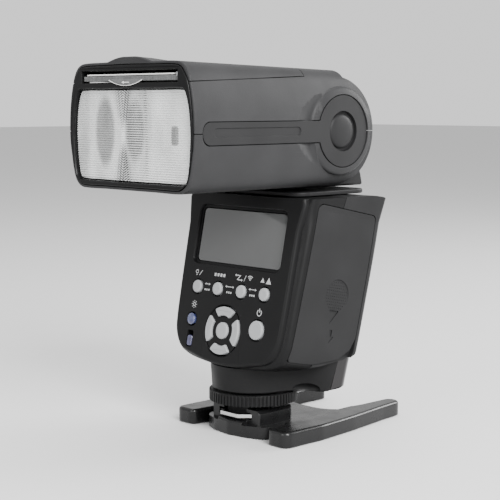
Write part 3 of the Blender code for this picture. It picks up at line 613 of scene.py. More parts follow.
def make_housing():
    rings = []
    for z, inset in ((17.9, 1.5), (18.15, 1.0), (18.6, 0.65), (24.0, 0.3), (30.0, -0.1), (34.0, -0.3)):
        wide = 29.4 + (z - 17.9) / 16.1
        rings.append([(a, b, z) for a, b in housing_plan(inset, wide, seam_y(z) - 0.15)])
    body = keep(lofted(rings), prism(under_case(10.0), -40.0, 40.0, "x"))
    inner = [(a, min(b, 13.0)) for a, b in housing_plan(2.4, 28.6, 13.0)]
    body = cut(body, prism(inner, 20.6, 36.0))
    for side in (-1, 1):
        dish = bmesh.new()
        bmesh.ops.create_uvsphere(dish, u_segments=32, v_segments=20, radius=1.0)
        bmesh.ops.scale(dish, verts=dish.verts, vec=(3.4, 5.8, 2.6))
        placed(dish, Matrix.Rotation(math.radians(side * -43), 4, "Z"))
        bmesh.ops.translate(dish, verts=dish.verts, vec=(side * 23.6, 6.9, 19.0))
        body = cut(body, dish)
    stand_in("foot_housing", softened(body, 0.25, 2, 50), "housing")
    rings = []
    for z, wide, rear, inset in (
        (17.9, 28.8, 26.3, 1.2), (18.3, 28.85, 26.35, 0.5), (19.0, 28.9, 26.4, 0.0), (34.0, 30.4, 29.0, 0.0),
    ):
        front = seam_y(z) + 0.15
        plan = rounded([
            (wide - inset, front, 0), (wide - inset, rear - inset, 5.0), (inset - wide, rear - inset, 5.0),
            (inset - wide, front, 0),
        ], 8)
        rings.append([(a, b, z) for a, b in plan])
    window = keep(lofted(rings), prism(under_case(10.0), -40.0, 40.0, "x"))
    window = cut(window, block((-26.0, 14.0, 20.4), (26.0, 23.4, 30.0)))
    stand_in("sensor_window", softened(window, 0.2, 2, 50), "smoke")


# ---------------------------------------------------------------- case

CASE_DEPTH = 44.6
CASE_SPLIT = 20.0


def panel_half(grow=0.0):
    g = grow
    return [
        (0.0, 3.0), (16.0, 3.0), (32.3 + g, 3.0), (32.05 + g, -12.0), (31.8 + g, -26.0), (31.4 + g, -43.0),
        (30.8 + g, -54.5), (29.6 + g, -59.2 - g), (27.2 + g, -62.8 - g), (24.0, -64.8 - g),
        (18.3, -66.2 - g), (10.0, -67.9 - g), (0.0, -68.6 - g),
    ]


def case_half(inset=0.0):
    i = inset
    return [
        (0.0, 12.0), (18.0, 12.0), (35.5 - i, 12.0), (35.35 - i, -2.0), (35.2 - i, -15.0), (34.3 - i, -38.0),
        (33.4 - i, -56.0), (32.6 - i, -60.0), (31.0 - i, -63.0), (28.0 - i, -65.4 + i),
        (21.0 - i, -67.4 + i), (11.0 - i, -68.4 + i), (0.0, -68.8 + i),
    ]


def case_ring(depth, inset=0.0):
    return [(x, y, depth) for x, y in dense(case_half(inset))]


def dense(half, per=3):
    """Smooths the lower corners of a half outline and mirrors it."""
    loop = mirrored(half)
    soft = smoothed(loop, per)
    top = loop[1][1]
    return [(x, y if y < top - 1.0 else top) for x, y in soft]


def case_profile(inset=0.0):
    k = inset
    return [
        (-30.0, 96.6 - k), (29.0 - k, 96.6 - k), (33.0 - k, 96.45 - k), (37.0 - k, 95.9 - k),
        (40.0 - k, 95.1 - k), (41.4 - k, 94.3 - k), (42.0 - k, 93.0 - k), (28.4 - k, 36.5 + k / 2),
        (27.4 - k, 34.4 + k / 2), (25.6 - k, 32.6 + k), (20.5 - k, 30.6 + k), (-8.0, 28.6 + k),
        (-30.0, 28.6 + k),
    ]


def keep_profile(bm, inset=0.0):
    return keep(bm, prism(case_profile(inset), -40.0, 40.0, "x"))


def in_world(bm):
    return placed(bm, PANEL)


def front_shape():
    """The front half: raised panel with a rounded rim, a valley, and the flare to the case's sides."""
    rings = []
    for k in range(5):
        a = math.pi / 2 * (1 - k / 4)
        inset = -1.5 * (1 - math.cos(a))
        rings.append([(x, y, 1.5 * (math.sin(a) - 1)) for x, y in dense(panel_half(inset))])
    rings.append([(x, y, -2.5) for x, y in dense(panel_half(0.1))])
    blend = dense(case_half(0.0))
    valley = dense(panel_half(0.1))
    for t, depth in ((0.25, -2.75), (0.62, -3.3), (0.86, -4.3), (0.96, -5.3), (1.0, -6.6)):
        pairs = zip(valley, blend)
        rings.append([(x0 + (x1 - x0) * t, y0 + (y1 - y0) * t, depth) for (x0, y0), (x1, y1) in pairs])
    rings.append([(x, y, -CASE_SPLIT + 0.3) for x, y in blend])
    return lofted(rings)


DOOR = [
    (-6.2, 0.4, 2.5), (-40.2, 0.4, 2.5), (-40.6, -50.0, 0), (-38.6, -55.0, 2.0),
    (-33.0, -59.2, 2.0), (-18.0, -63.0, 0), (-8.0, -63.8, 2.0), (-5.0, -61.5, 2.0),
]


def door_outline(grow=0.0):
    out = []
    for depth, up, radius in DOOR:
        outward = 1.0 if depth > -22.5 else -1.0
        upward = 1.0 if up > -20.0 else -1.0
        out.append((depth + grow * outward, up + grow * upward, radius))
    return [(b, a) for a, b in rounded(out, 6)]


def door_recess(bm):
    bm = cut(bm, prism(door_outline(), 31.0, 40.0, "x"))
    lowered = [(up - 5.3, depth) for up, depth in door_outline()]
    return cut(bm, prism(lowered, 31.35, 40.0, "x"), block((31.35, -80.0, -38.5), (40.0, -60.0, -8.4)))


ROUND_KEYS = {
    "function_button_1": (-20.4, -38.4, 2.6), "function_button_2": (-8.2, -38.2, 2.6),
    "function_button_3": (5.7, -38.0, 2.6), "function_button_4": (18.9, -37.8, 2.6),
    "power_button": (17.6, -52.1, 3.8), "pilot_button": (-21.1, -52.0, 2.35),
    "set_button": (-1.6, -54.6, 3.4),
}
PAD_CENTRE = (-1.6, -54.6)
PAD_KEYS = {"pad_right": 0.0, "pad_up": 90.0, "pad_left": 180.0, "pad_down": 270.0}
KEY_TOP = 0.55
KEY_FOOT = -2.9


def funnel(centre, radius, flare, depth):
    """Hole with a soft dished rim."""
    profile = [
        (0, -4.0), (radius, -4.0), (radius, -depth), (radius + flare * 0.25, -depth * 0.4),
        (radius + flare, 0.02), (radius + flare, 3.0), (0, 3.0),
    ]
    return turned(profile, centre=centre, segments=48)


def rounded_slab(half, top, bottom, low, high, radius, centre=0.0, r_high=0.0, r_low=0.0):
    outline = rounded([
        (centre + half, bottom, radius), (centre + half, top, radius), (centre - half, top, radius),
        (centre - half, bottom, radius),
    ], 6)
    return cushion(outline, low, high, r_low, r_high)


def make_front_case():
    case = keep_profile(in_world(front_shape()))
    hollow = lofted([
        [(x * 0.93, y + (2.5 if y < 0 else 0.0), -3.2) for x, y in dense(panel_half())],
        case_ring(-7.4, 2.0), case_ring(-30.0, 2.0),
    ])
    case = cut(case, keep_profile(in_world(hollow), 2.0))
    placed(case, PANEL.inverted())
    case = door_recess(case)
    frame_low = join(
        rounded_slab(25.5, -4.3, -28.7, -1.15, 2.0, 2.4), rounded_slab(24.5, -5.3, -27.9, -4.5, -1.0, 1.9),
    )
    flare = []
    for grow, level in ((0.0, -0.8), (0.12, -0.3), (0.4, 0.01), (0.4, 2.0)):
        outline = rounded([
            (25.5 + grow, -28.7 - grow, 2.4 + grow), (25.5 + grow, -4.3 + grow, 2.4 + grow),
            (-25.5 - grow, -4.3 + grow, 2.4 + grow), (-25.5 - grow, -28.7 - grow, 2.4 + grow),
        ], 6)
        flare.append([(x, y, level) for x, y in outline])
    case = cut(case, frame_low, lofted(flare))
    for name, (x, y, radius) in ROUND_KEYS.items():
        if name != "set_button":
            case = cut(case, funnel((x, y), radius + 0.5, 0.75, 0.8))
    case = cut(case, funnel(PAD_CENTRE, 10.3, 0.5, 0.8))
    case = cut(case, rounded_slab(1.85, -56.6, -63.5, -4.0, 2.0, 1.0, -20.4))
    for x0, x1 in ((-13.0, -12.0), (9.0, 10.8)):
        groove = lofted([
            [(x0 - 0.14, -55.0, 0.3), (x0 + 0.14, -55.0, 0.3), (x0, -55.0, -0.16)],
            [(x1 - 0.14, -69.0, 0.3), (x1 + 0.14, -69.0, 0.3), (x1, -69.0, -0.16)],
        ])
        case = cut(case, groove)
    case = softened(placed(case, PANEL), 0.22, 2, 45)
    stand_in("front_case", case, "panel", angle=36)


def rear_rings():
    levels = [(-CASE_SPLIT, 0.0), (-41.4, 0.0), (-42.3, 0.25), (-43.2, 0.8), (-44.0, 1.6), (-CASE_DEPTH, 2.9)]
    return [case_ring(depth, inset) for depth, inset in levels]


PORT = [(-23.5, -22.0, 1.5), (-36.5, -22.0, 1.5), (-36.5, -46.0, 1.5), (-23.5, -46.0, 1.5)]


def port_outline(grow):
    out = []
    for depth, up, radius in PORT:
        out.append((depth + (grow if depth > -30 else -grow), up + (grow if up > -34 else -grow), radius))
    return [(b, a) for a, b in rounded(out, 5)]


def make_rear_case():
    case = keep_profile(in_world(lofted(rear_rings())))
    hollow = lofted([case_ring(-10.0, 2.0), case_ring(-38.4, 2.0), case_ring(-42.2, 5.0)])
    case = cut(case, keep_profile(in_world(hollow), 2.0))
    case = cut(case, round_bar(9.0, 90.0, 99.0, centre=(0, 17.5), segments=48))
    placed(case, PANEL.inverted())
    case = door_recess(case)
    case = cut(case, prism(port_outline(0.0), -40.0, -31.0, "x"))
    stand_in("rear_case", softened(placed(case, PANEL), 0.3, 2, 42), "case", angle=36)
    cover = prism(port_outline(-0.3), -40.0, -32.0, "x")
    skin = lofted([case_ring(-10.0), case_ring(-50.0)])
    core = lofted([case_ring(-9.0, 1.4), case_ring(-51.0, 1.4)])
    cover = softened(cut(keep(cover, skin), core), 0.3, 2)
    for k in range(5):
        rib = rounded_slab(0.35, -30.0, -38.0, -0.15, 0.35, 0.3, 0.0, 0.15)
        turn = Matrix(((0, 0, -1, -34.75), (0, 1, 0, 0), (1, 0, 0, -28.0 - k * 1.3), (0, 0, 0, 1)))
        add_loose(cover, placed(rib, turn))
    stand_in("port_cover", cover, "rubber", PANEL)


def dome(centre, radius, height, x, segments=10):
    """Small raised grip dot of the door, pointing to +X."""
    a, b = centre
    profile = [(0, x - 0.1), (radius, x - 0.1), (radius * 0.8, x + height * 0.6), (0, x + height)]
    return turned(profile, "x", (a, b), segments)


def make_door():
    door = prism(door_outline(-0.3), 31.5, 40.0, "x")
    skin = lofted([case_ring(-2.0)] + rear_rings()[1:])
    core = lofted([case_ring(0.0, 1.9), case_ring(-50.0, 1.9)])
    door = softened(cut(keep(door, skin), core), 0.55, 3, 42)
    back, down = GRIP_AT[0] - PANEL_AT[0], GRIP_AT[1] - PANEL_AT[1]
    centre = (down * COS_LEAN + back * SIN_LEAN, down * SIN_LEAN - back * COS_LEAN)
    wall = wall_at(centre[0])
    dish = turned([(0, wall - 0.12), (6.5, wall - 0.12), (6.9, wall + 0.4), (0, wall + 0.4)], "x", centre, 48)
    tip = [(centre[0] + a, centre[1] + b) for a, b in ((-5.6, -2.6), (-5.6, 2.6), (-11.0, 1.6))]
    door = cut(door, dish, prism(tip, wall_at(centre[0] - 9) - 0.16, 40.0, "x"))
    pitch, dots = 1.12, bmesh.new()
    for i in range(-6, 7):
        for j in range(-6, 7):
            a, b = i * pitch, j * pitch
            if a * a + b * b < 6.1**2:
                add_loose(dots, dome((centre[0] + a, centre[1] + b), 0.36, 0.3, wall - 0.2, 6))
    arrow = [
        (-18.6, 0.0), (-16.0, 2.2), (-16.0, 0.8), (-13.4, 0.8), (-13.4, -0.8), (-16.0, -0.8), (-16.0, -2.2),
    ]
    arrow = [(centre[0] + a, centre[1] + b) for a, b in arrow]
    door = cut(door, prism(arrow, wall_at(centre[0] - 16) - 0.22, 40.0, "x"))
    stand_in("battery_door", add_loose(door, dots), "case", PANEL, angle=36)


def wall_at(up):
    """Half width of the case at a height up the lean."""
    half = [p for p in case_half() if p[0] > 30.0]
    for (x0, u0), (x1, u1) in zip(half, half[1:]):
        if u1 <= up <= u0:
            return x0 + (x1 - x0) * (up - u0) / (u1 - u0)
    return half[-1][0]


def make_keys():
    for name, (x, y, radius) in ROUND_KEYS.items():
        if name == "pilot_button":
            profile = [(0, KEY_FOOT), (radius, KEY_FOOT), (radius, 0.1)]
            profile += [(radius * math.cos(a), 0.1 + 0.5 * math.sin(a)) for a in (0.35, 0.7, 1.05, 1.35)]
            profile += [(0, KEY_TOP)]
            look = "pilot"
        else:
            profile = [(0, KEY_FOOT), (radius, KEY_FOOT), (radius, 0.12), (radius - 0.08, 0.3)]
            profile += [(radius - 0.25, 0.46), (radius - 0.5, KEY_TOP)]
            profile += [(radius * 0.5, KEY_TOP - 0.04), (0, KEY_TOP - 0.06)]
            look = "button"
        stand_in(name, turned(profile, centre=(x, y), segments=48), look, PANEL)
    for name, middle in PAD_KEYS.items():
        outline = arc(PAD_CENTRE, 9.7, middle - 35, middle + 35, 14)
        outline += arc(PAD_CENTRE, 6.1, middle + 31, middle - 31, 10)
        key = cushion(soft_corners(outline), KEY_FOOT, KEY_TOP, 0.0, 0.4, steps=3)
        stand_in(name, key, "button", PANEL)


def make_membrane():
    """Dark plate between the keys of the pad."""
    profile = [(0, -1.9), (10.0, -1.9), (10.0, -0.5), (9.8, -0.3), (0, -0.3)]
    plate = turned(profile, centre=PAD_CENTRE, segments=72)
    plate = cut(plate, round_bar(3.55, -3.0, 1.0, centre=PAD_CENTRE, segments=48))
    for middle in PAD_KEYS.values():
        outline = arc(PAD_CENTRE, 11.0, middle - 36.5, middle + 36.5, 14)
        outline += arc(PAD_CENTRE, 5.9, middle + 33, middle - 33, 10)
        plate = cut(plate, prism(outline, -3.0, 1.0))
    piece("pad_plate", softened(plate, 0.15, 2, 40), "panel", "flash_body", (), PANEL)


def soft_corners(outline, rounds=2):
    for _ in range(rounds):
        out = []
        for i, p in enumerate(outline):
            q = outline[(i + 1) % len(outline)]
            out.append((p[0] * 0.75 + q[0] * 0.25, p[1] * 0.75 + q[1] * 0.25))
            out.append((p[0] * 0.25 + q[0] * 0.75, p[1] * 0.25 + q[1] * 0.75))
        outline = out
    return outline


def make_display():
    glass, tree, bsdf = shader("display_glass")
    tint = colour_ramp(tree, noise(tree, 30.0, 3.0), (0.040, 0.041, 0.041), (0.050, 0.051, 0.051))
    dress(tree, bsdf, tint, remap(tree, noise(tree, 600.0), 0.05, 0.09), (0.3, 0.04))
    window = rounded_slab(24.2, -5.6, -27.6, -2.3, -1.45, 1.7, 0.0, 0.2)
    stand_in("display_window", window, glass, PANEL)
    lamp = rounded_slab(1.5, -58.7, -63.1, -2.4, 0.1, 1.0, -20.4, 0.5)
    stand_in("light_sensor_window", lamp, "sensor", PANEL)


# ---------------------------------------------------------------- generic printed marks

MARK_LEVELS = (-0.05, 0.035)


def stroke(a, b, width):
    """Thin printed bar between two points of the panel."""
    a, b = Vector(a), Vector(b)
    along = (b - a).normalized()
    side = Vector((-along.y, along.x)) * width / 2
    corners = [a + side, b + side, b - side, a - side]
    return prism([tuple(c) for c in corners], *MARK_LEVELS)


def printed_ring(centre, radius, width, start=0.0, end=360.0):
    if abs(end - start) >= 360.0:
        low, high = MARK_LEVELS
        inner = radius - width
        return turned([(inner, low), (radius, low), (radius, high), (inner, high)], centre=centre)
    outline = arc(centre, radius, start, end, 28) + arc(centre, radius - width, end, start, 28)
    return prism(outline, *MARK_LEVELS)


def triangle(centre, size, angle):
    return prism(arc(centre, size, angle, angle + 240.0, 2), *MARK_LEVELS)


def make_marks():
    shapes = []
    for x0, x1, y in ((-15.9, -12.7, -36.9), (-3.6, 1.5, -36.8), (10.2, 14.6, -36.6)):
        shapes += [
            stroke((x0 + 0.6, y), (x1 - 0.6, y), 0.3), triangle((x0 + 0.5, y), 0.55, 180.0),
            triangle((x1 - 0.5, y), 0.55, 0.0),
        ]
        for k in (-1, 0, 1):
            x = (x0 + x1) / 2 + k * 1.15
            shapes.append(stroke((x - 0.35, y - 2.3), (x + 0.35, y - 2.3), 0.75))
    top = -32.6
    shapes += [
        printed_ring((-21.8, top + 0.2), 0.85, 0.28), stroke((-22.15, top - 1.1), (-21.45, top - 1.1), 0.35),
        stroke((-20.2, top - 1.1), (-18.6, top + 1.0), 0.3),
    ]
    shapes += [stroke((-11.0 + k * 1.75, top), (-9.9 + k * 1.75, top), 1.25) for k in range(4)]
    zig = ((2.2, top + 0.9), (4.4, top + 0.9), (2.6, top - 0.9), (4.8, top - 0.9))
    shapes += [stroke(a, b, 0.36) for a, b in zip(zig, zig[1:])]
    shapes += [
        triangle((5.3, top - 0.9), 0.6, 0.0), triangle((1.7, top + 0.9), 0.6, 180.0),
        stroke((6.6, top - 1.2), (7.5, top + 1.2), 0.28),
    ]
    shapes += [printed_ring((10.0, top - 0.9), radius, 0.34, 50.0, 130.0) for radius in (0.85, 1.55, 2.25)]
    lamp = (-20.6, -45.9)
    shapes += [
        triangle((17.2, top), 1.25, 90.0), triangle((20.6, top - 0.15), 1.7, 90.0),
        printed_ring(lamp, 0.8, 0.3),
    ]
    for k in range(8):
        way = Vector((math.cos(k * math.pi / 4), math.sin(k * math.pi / 4)))
        shapes.append(stroke(Vector(lamp) + way * 1.1, Vector(lamp) + way * 1.6, 0.26))
    power = (18.0, -45.2)
    shapes += [
        printed_ring(power, 1.35, 0.36, -240.0, 60.0),
        stroke((power[0], power[1] + 0.2), (power[0], power[1] + 1.75), 0.36),
    ]
    marks = shapes[0]
    for shape in shapes[1:]:
        add_loose(marks, shape)
    piece("panel_marks", marks, "arrow_and_painted_rim_highlight", "flash_body", (), PANEL)


# ---------------------------------------------------------------- neck

SWIVEL_Y = 17.5
TILT_Y = 15.5
TILT_Z = 122.5


def make_neck():
    outline = rounded([(27, -1.5, 7), (27, 40.0, 7), (-27, 40.0, 7), (-27, -1.5, 7)], 10)
    plate = cushion(outline, 97.0, 98.7, 0.3, 0.5)
    tube = round_bar(8.6, 92.0, 97.8, centre=(0, SWIVEL_Y), segments=48)
    plate = cut(join(plate, tube), round_bar(6.4, 91.0, 100.0, centre=(0, SWIVEL_Y), segments=40))
    stand_in("turntable_plate", plate, "case")
    neck = softened(prism(neck_profile(), -20.0, 20.0, "x"), 1.1, 3, 50)
    neck = join(neck, round_bar(11.0, 99.0, 101.0, centre=(0, SWIVEL_Y), segments=48))
    hollow = keep(prism(neck_profile(2.0), -18.0, 18.0, "x"), block((-30, -10, 101.7), (30, 60, 140)))
    neck = cut(neck, hollow, round_bar(6.4, 90.0, 104.0, centre=(0, SWIVEL_Y), segments=40))
    stand_in("neck_block", neck, "trim")


def neck_profile(k=0.0):
    rear = [
        (28.3 - k, 119.0), (29.4 - k, 116.6), (31.0 - k, 114.5), (33.0 - k, 112.4), (35.0 - k, 110.8),
        (39.5 - k, 108.6), (41.2 - k, 107.8 - k), (42.0 - k, 106.6 - k), (42.9 - k, 104.0),
        (44.0 - k, 99.7 - 4 * k),
    ]
    dome_line = arc((TILT_Y, TILT_Z), 13.0 - k, 180.0, -10.0, 32)
    return [(2.5 + k, 99.7 - 4 * k)] + dome_line + rear


# ---------------------------------------------------------------- head

HEAD_FRONT = -63.7
SHELL_FRONT = -63.2
SEAM_LOW = 122.5
SEAM_HIGH = ((-62.0, 141.0), (12.0, 144.2))
COVER_REAR = -3.4
BEZEL_INSET = 1.3
LOBE_R = 20.3
CHEEK_IN = 20.6
RING_POINTS = 220


def head_half(inset=0.0):
    k = inset
    return [
        (0.0, 148.8 - k), (14.0, 148.6 - k), (28.0 - k / 2, 148.3 - k), (31.2 - k * 0.8, 147.3 - k),
        (33.4 - k, 145.0 - k), (35.0 - k, 141.2), (36.7 - k, 134.0), (37.5 - k, 126.0), (37.4 - k, 119.0),
        (36.5 - k, 113.5), (35.5 - k, 108.5), (34.1 - k, 104.4 + k / 2), (32.0 - k, 102.0 + k),
        (29.0 - k / 2, 101.0 + k), (14.0, 101.0 + k), (0.0, 101.0 + k),
    ]


def wall_x(y):
    """Half width of the head at the height of the side band."""
    return 37.5 * (1.0 - 0.068 * (y - HEAD_FRONT) / (TILT_Y - HEAD_FRONT))


def head_outline(inset=0.0):
    return spaced(smoothed(mirrored(head_half(inset)), 8), RING_POINTS)


def head_ring(y, inset=0.0):
    along = (y - HEAD_FRONT) / (TILT_Y - HEAD_FRONT)
    upward = 1.0 - 0.075 * along
    ring = []
    for x, z in head_outline(inset):
        z = SEAM_LOW + (z - SEAM_LOW) * (upward if z > SEAM_LOW else 1.0)
        ring.append((x * wall_x(y) / 37.5, y, z))
    return ring


def head_side(k=0.0, front=SHELL_FRONT, steps=48):
    """Side view of the head, (y, z): flat underside, round lobes and the stepped top."""
    lobe = []
    for i in range(steps + 1):
        angle = math.radians(-84 + 162 * i / steps)
        radius = LOBE_R - k + 1.1 * abs(math.sin(angle)) ** 2
        lobe.append((TILT_Y + radius * math.cos(angle), TILT_Z + radius * math.sin(angle)))
    top = [
        (19.2 - k, 143.6 - k), (18.4 - k, 145.2 - k), (17.8 - k, 146.2), (17.2 - k, 148.0), (17.2 - k, 160.0),
        (front, 160.0),
    ]
    return [(front, 90.0 + k), (9.0, 90.0 + k), (9.0, 101.0 + k)] + lobe + top


LOBE_EDGE = (
    (38.5, 9.0), (37.2, 6.6), (36.0, 5.0), (35.2, 3.7), (34.4, 2.6), (33.5, 1.6), (32.6, 0.85), (31.6, 0.35),
    (30.6, 0.1), (29.6, 0.0),
)


def head_solid():
    front = head_ring(SHELL_FRONT, 0.5), head_ring(SHELL_FRONT + 0.25, 0.15), head_ring(SHELL_FRONT + 0.6)
    head = lofted([*front, head_ring(-40.0), head_ring(-20.0), head_ring(0.0), head_ring(40.0)])
    rings = [[(x, y, z) for y, z in head_side(k)] for x, k in LOBE_EDGE]
    rings += [[(-x, y, z) for x, y, z in ring] for ring in reversed(rings)]
    head = keep(head, lofted(rings))
    for side in (-1, 1):
        head = join(cut(head, disc_valley(side)), disc_ring(side))
    notch = [(34.3, SEAM_LOW), (37.5, SEAM_LOW - 0.75), (37.5, SEAM_LOW + 0.75)]
    return cut(head, prism(notch, -45.0, 45.0, "x"))


def on_hinge(side, profile, segments=96):
    """A profile (radius, distance from the middle) turned about the tilt axis."""
    return turned([(r, side * x) for r, x in profile], "x", (TILT_Y, TILT_Z), segments)


def disc_valley(side):
    """Smooth dip round the raised ring that frames the hinge disc."""
    profile = [
        (13.0, 35.0), (16.6, 35.0), (17.0, 34.5), (17.6, 34.0), (18.4, 33.75), (19.4, 33.8), (20.8, 34.05),
        (22.6, 34.5), (24.6, 35.05), (26.6, 35.6), (28.6, 36.15), (30.6, 36.8), (30.6, 42.0), (13.0, 42.0),
    ]
    return on_hinge(side, profile)


def disc_ring(side):
    return on_hinge(side, [
        (13.5, 30.5), (17.6, 30.5), (17.3, 33.6), (16.9, 34.2), (16.2, 34.55), (14.6, 34.9), (13.5, 34.9),
    ])


def pocket():
    """Space between the lobes that clears the neck through the whole tilt."""
    profile = [
        (-2.6, 90.0), (-2.6, 99.0), (-1.0, 108.0), (1.0, 118.0), (1.3, 124.0), (3.2, 130.5),
        (7.0, 135.5), (10.0, 138.0), (10.3, 170.0), (50.0, 170.0), (50.0, 90.0),
    ]
    return prism(profile, -CHEEK_IN, CHEEK_IN, "x")


def head_hollow():
    main = lofted([
        head_ring(-70.0, 1.0), head_ring(-59.0, 1.0), head_ring(-58.9, 2.0), head_ring(-20.0, 2.0),
        head_ring(-5.2, 2.0),
    ])
    for side in (-1, 1):
        lobe = lofted([head_ring(-12.0, 2.4), head_ring(38.0, 2.4)])
        lobe = keep(lobe, prism(head_side(5.0, -20.0), -50.0, 50.0, "x"))
        ends = sorted((side * (CHEEK_IN + 2.0), side * 50.0))
        main = join(main, keep(lobe, block((ends[0], -30.0, 80.0), (ends[1], 60.0, 160.0))))
    return main


def above_seam(offset, rear):
    (y0, z0), (y1, z1) = SEAM_HIGH
    slope = (z1 - z0) / (y1 - y0)
    ends = [(y, z0 + slope * (y - y0) + offset) for y in (-80.0, rear)]
    return prism(ends + [(rear, 170.0), (-80.0, 170.0)], -60, 60, "x")


def trim_outline(grow):
    return rounded([
        (-59.4 - grow, SEAM_LOW - 4.1 - grow, 3.6), (3.0, SEAM_LOW - 4.1 - grow, 0),
        (3.0, SEAM_LOW + 4.1 + grow, 0), (-59.4 - grow, SEAM_LOW + 4.1 + grow, 3.6),
    ], 8)


def wall_slab(side, near, far):
    rings = []
    for y in (-75.0, 40.0):
        ends = (side * (wall_x(y) + near), side * (wall_x(y) + far))
        rings.append([(ends[0], y, 100), (ends[1], y, 100), (ends[1], y, 145), (ends[0], y, 145)])
    return lofted(rings)


def hinge_bar(side, radius, low, high, segments=72):
    ends = sorted((side * low, side * high))
    return round_bar(radius, *ends, "x", centre=(TILT_Y, TILT_Z), segments=segments)


def side_cuts():
    cuts = []
    for side in (-1, 1):
        ends = sorted((side * 30.0, side * 45.0))
        cuts.append(keep(prism(trim_outline(0.3), *ends, "x"), wall_slab(side, -1.5, 6.0)))
        cuts.append(hinge_bar(side, 14.3, 31.3, 45.0))
        cuts.append(hinge_bar(side, 5.3, 19.0, 33.0, 40))
    return cuts


def make_head_shells():
    gap = 0.15
    keeps = {
        "head_lower_shell": block((-60, -80, 80), (60, 60, SEAM_LOW - gap)),
        "head_upper_shell": block((-60, -80, SEAM_LOW + gap), (60, 60, 200)),
        "head_top_cover": above_seam(gap, COVER_REAR - gap),
    }
    solid, hollow = head_solid(), head_hollow()
    for name, room in keeps.items():
        shell = keep(solid.copy(), room)
        if name == "head_upper_shell":
            shell = cut(shell, above_seam(-gap, COVER_REAR + gap))
        if name == "head_top_cover":
            shell = join(shell, top_bump())
        shell = cut(shell, hollow.copy(), pocket())
        if name != "head_top_cover":
            shell = cut(shell, *side_cuts())
        stand_in(name, softened(shell, 0.22, 2, 42), "shell", angle=36)
    solid.free()
    hollow.free()


def top_bump():
    arch = [(0.0, 150.4), (5.0, 150.3), (10.0, 149.4), (14.0, 148.0)]
    curve = smoothed(mirrored(arch), 6)
    rings = []
    for y, share, drop_by in (
        (SHELL_FRONT, 0.96, 0.35), (SHELL_FRONT + 0.4, 1.0, 0.0), (-56.0, 0.98, 0.35), (-50.0, 0.95, 0.9),
        (-43.0, 0.93, 1.7), (-36.0, 0.9, 2.6),
    ):
        rings.append([(a * share, y, max(b, 147.4) - drop_by) for a, b in curve])
    return lofted(rings)


def make_side_trims():
    for side, tag in ((-1, "left"), (1, "right")):
        ends = sorted((side * 30.0, side * 45.0))
        trim = keep(prism(trim_outline(0.0), *ends, "x"), wall_slab(side, -1.2, 3.0))
        trim = join(trim, hinge_bar(side, 14.0, 31.6, 45.0))
        trim = keep(trim, wall_slab(side, -9.0, 0.0))
        slot = rounded([
            (-54.0, 121.2, 1.5), (-8.8, 121.2, 1.5), (-8.8, 124.4, 1.5), (-54.0, 124.4, 1.5),
        ], 8)
        trim = cut(trim, keep(prism(slot, *ends, "x"), wall_slab(side, -0.34, 3.0)))
        trim = softened(trim, 0.3, 3, 40)
        trim = cut(trim, hinge_bar(side, 7.9, 33.2, 45.0, 64))
        rim = [(7.4, 36.4), (7.9, 35.0), (8.7, 36.4), (8.7, 40.0), (7.4, 40.0)]
        trim = cut(trim, on_hinge(side, rim, 64))
        stand_in(f"side_trim_{tag}", trim, "trim", angle=36)
        plug = [
            (0, 33.5), (6.7, 33.5), (6.7, 33.65), (6.4, 34.05), (5.9, 34.35), (5.0, 34.55), (3.5, 34.72),
            (0, 34.8),
        ]
        stand_in(f"hinge_plug_{tag}", on_hinge(side, plug, 64), "trim")


# ---------------------------------------------------------------- head front

WINDOW = [
    (0.0, 138.6), (16.0, 138.5), (30.6, 138.4), (32.0, 137.2), (33.5, 133.0), (34.3, 128.5), (34.7, 122.0),
    (34.4, 116.4), (33.8, 110.7), (32.7, 105.8), (31.2, 104.4), (16.0, 104.1), (0.0, 104.0),
]
SLOT = (28.4, 141.0, 145.2)
LIP_X = -1.6


def upright(points, y):
    return [(a, y, b) for a, b in points]


def window_loop(inset=0.0):
    loop = spaced(smoothed(mirrored(WINDOW), 6), 180)
    return shrunk(loop, inset) if inset else loop


def crescent(grow=0.0):
    """Finger lip of the wide panel, seen from the front."""
    bottom = arc((LIP_X, 139.75 + 25.3), 25.3 + grow, -90 - 23.6, -90 + 23.6, 24)
    return bottom + [(LIP_X + 10.2, 142.3), (LIP_X - 10.2, 142.3)]


def make_bezel():
    outer = spaced(smoothed(mirrored(head_half(BEZEL_INSET)), 8), 180)
    rings = []
    for inset, y in ((0.0, -59.8), (0.0, -63.25), (0.12, -63.5), (0.4, HEAD_FRONT)):
        rings.append(upright(shrunk(outer, inset) if inset else outer, y))
    bezel = lofted(rings)
    opening = ((0.0, -50.0), (0.0, -62.6), (0.25, -63.3), (0.9, -63.75), (0.9, -70.0))
    bezel = cut(bezel, lofted([upright(window_loop(-grow), y) for grow, y in opening]))
    mouth = []
    for grow, y in ((0.0, -50.0), (0.0, -63.1), (0.3, -63.75), (0.3, -70.0)):
        half, low, high = SLOT[0] + grow, SLOT[1] - grow, SLOT[2] + grow
        mouth.append(upright([(-half, low), (half, low), (half, high), (-half, high)], y))
    bezel = cut(bezel, lofted(mouth))
    step = [(-30.6, 146.15), (30.6, 146.15), (30.6, 146.45), (-30.6, 146.45)]
    bezel = cut(bezel, prism(step, -70.0, HEAD_FRONT + 0.35, "y"))
    bezel = cut(bezel, prism(crescent(0.35), -70.0, -61.8, "y"))
    stand_in("front_bezel", bezel, "bezel", angle=36)


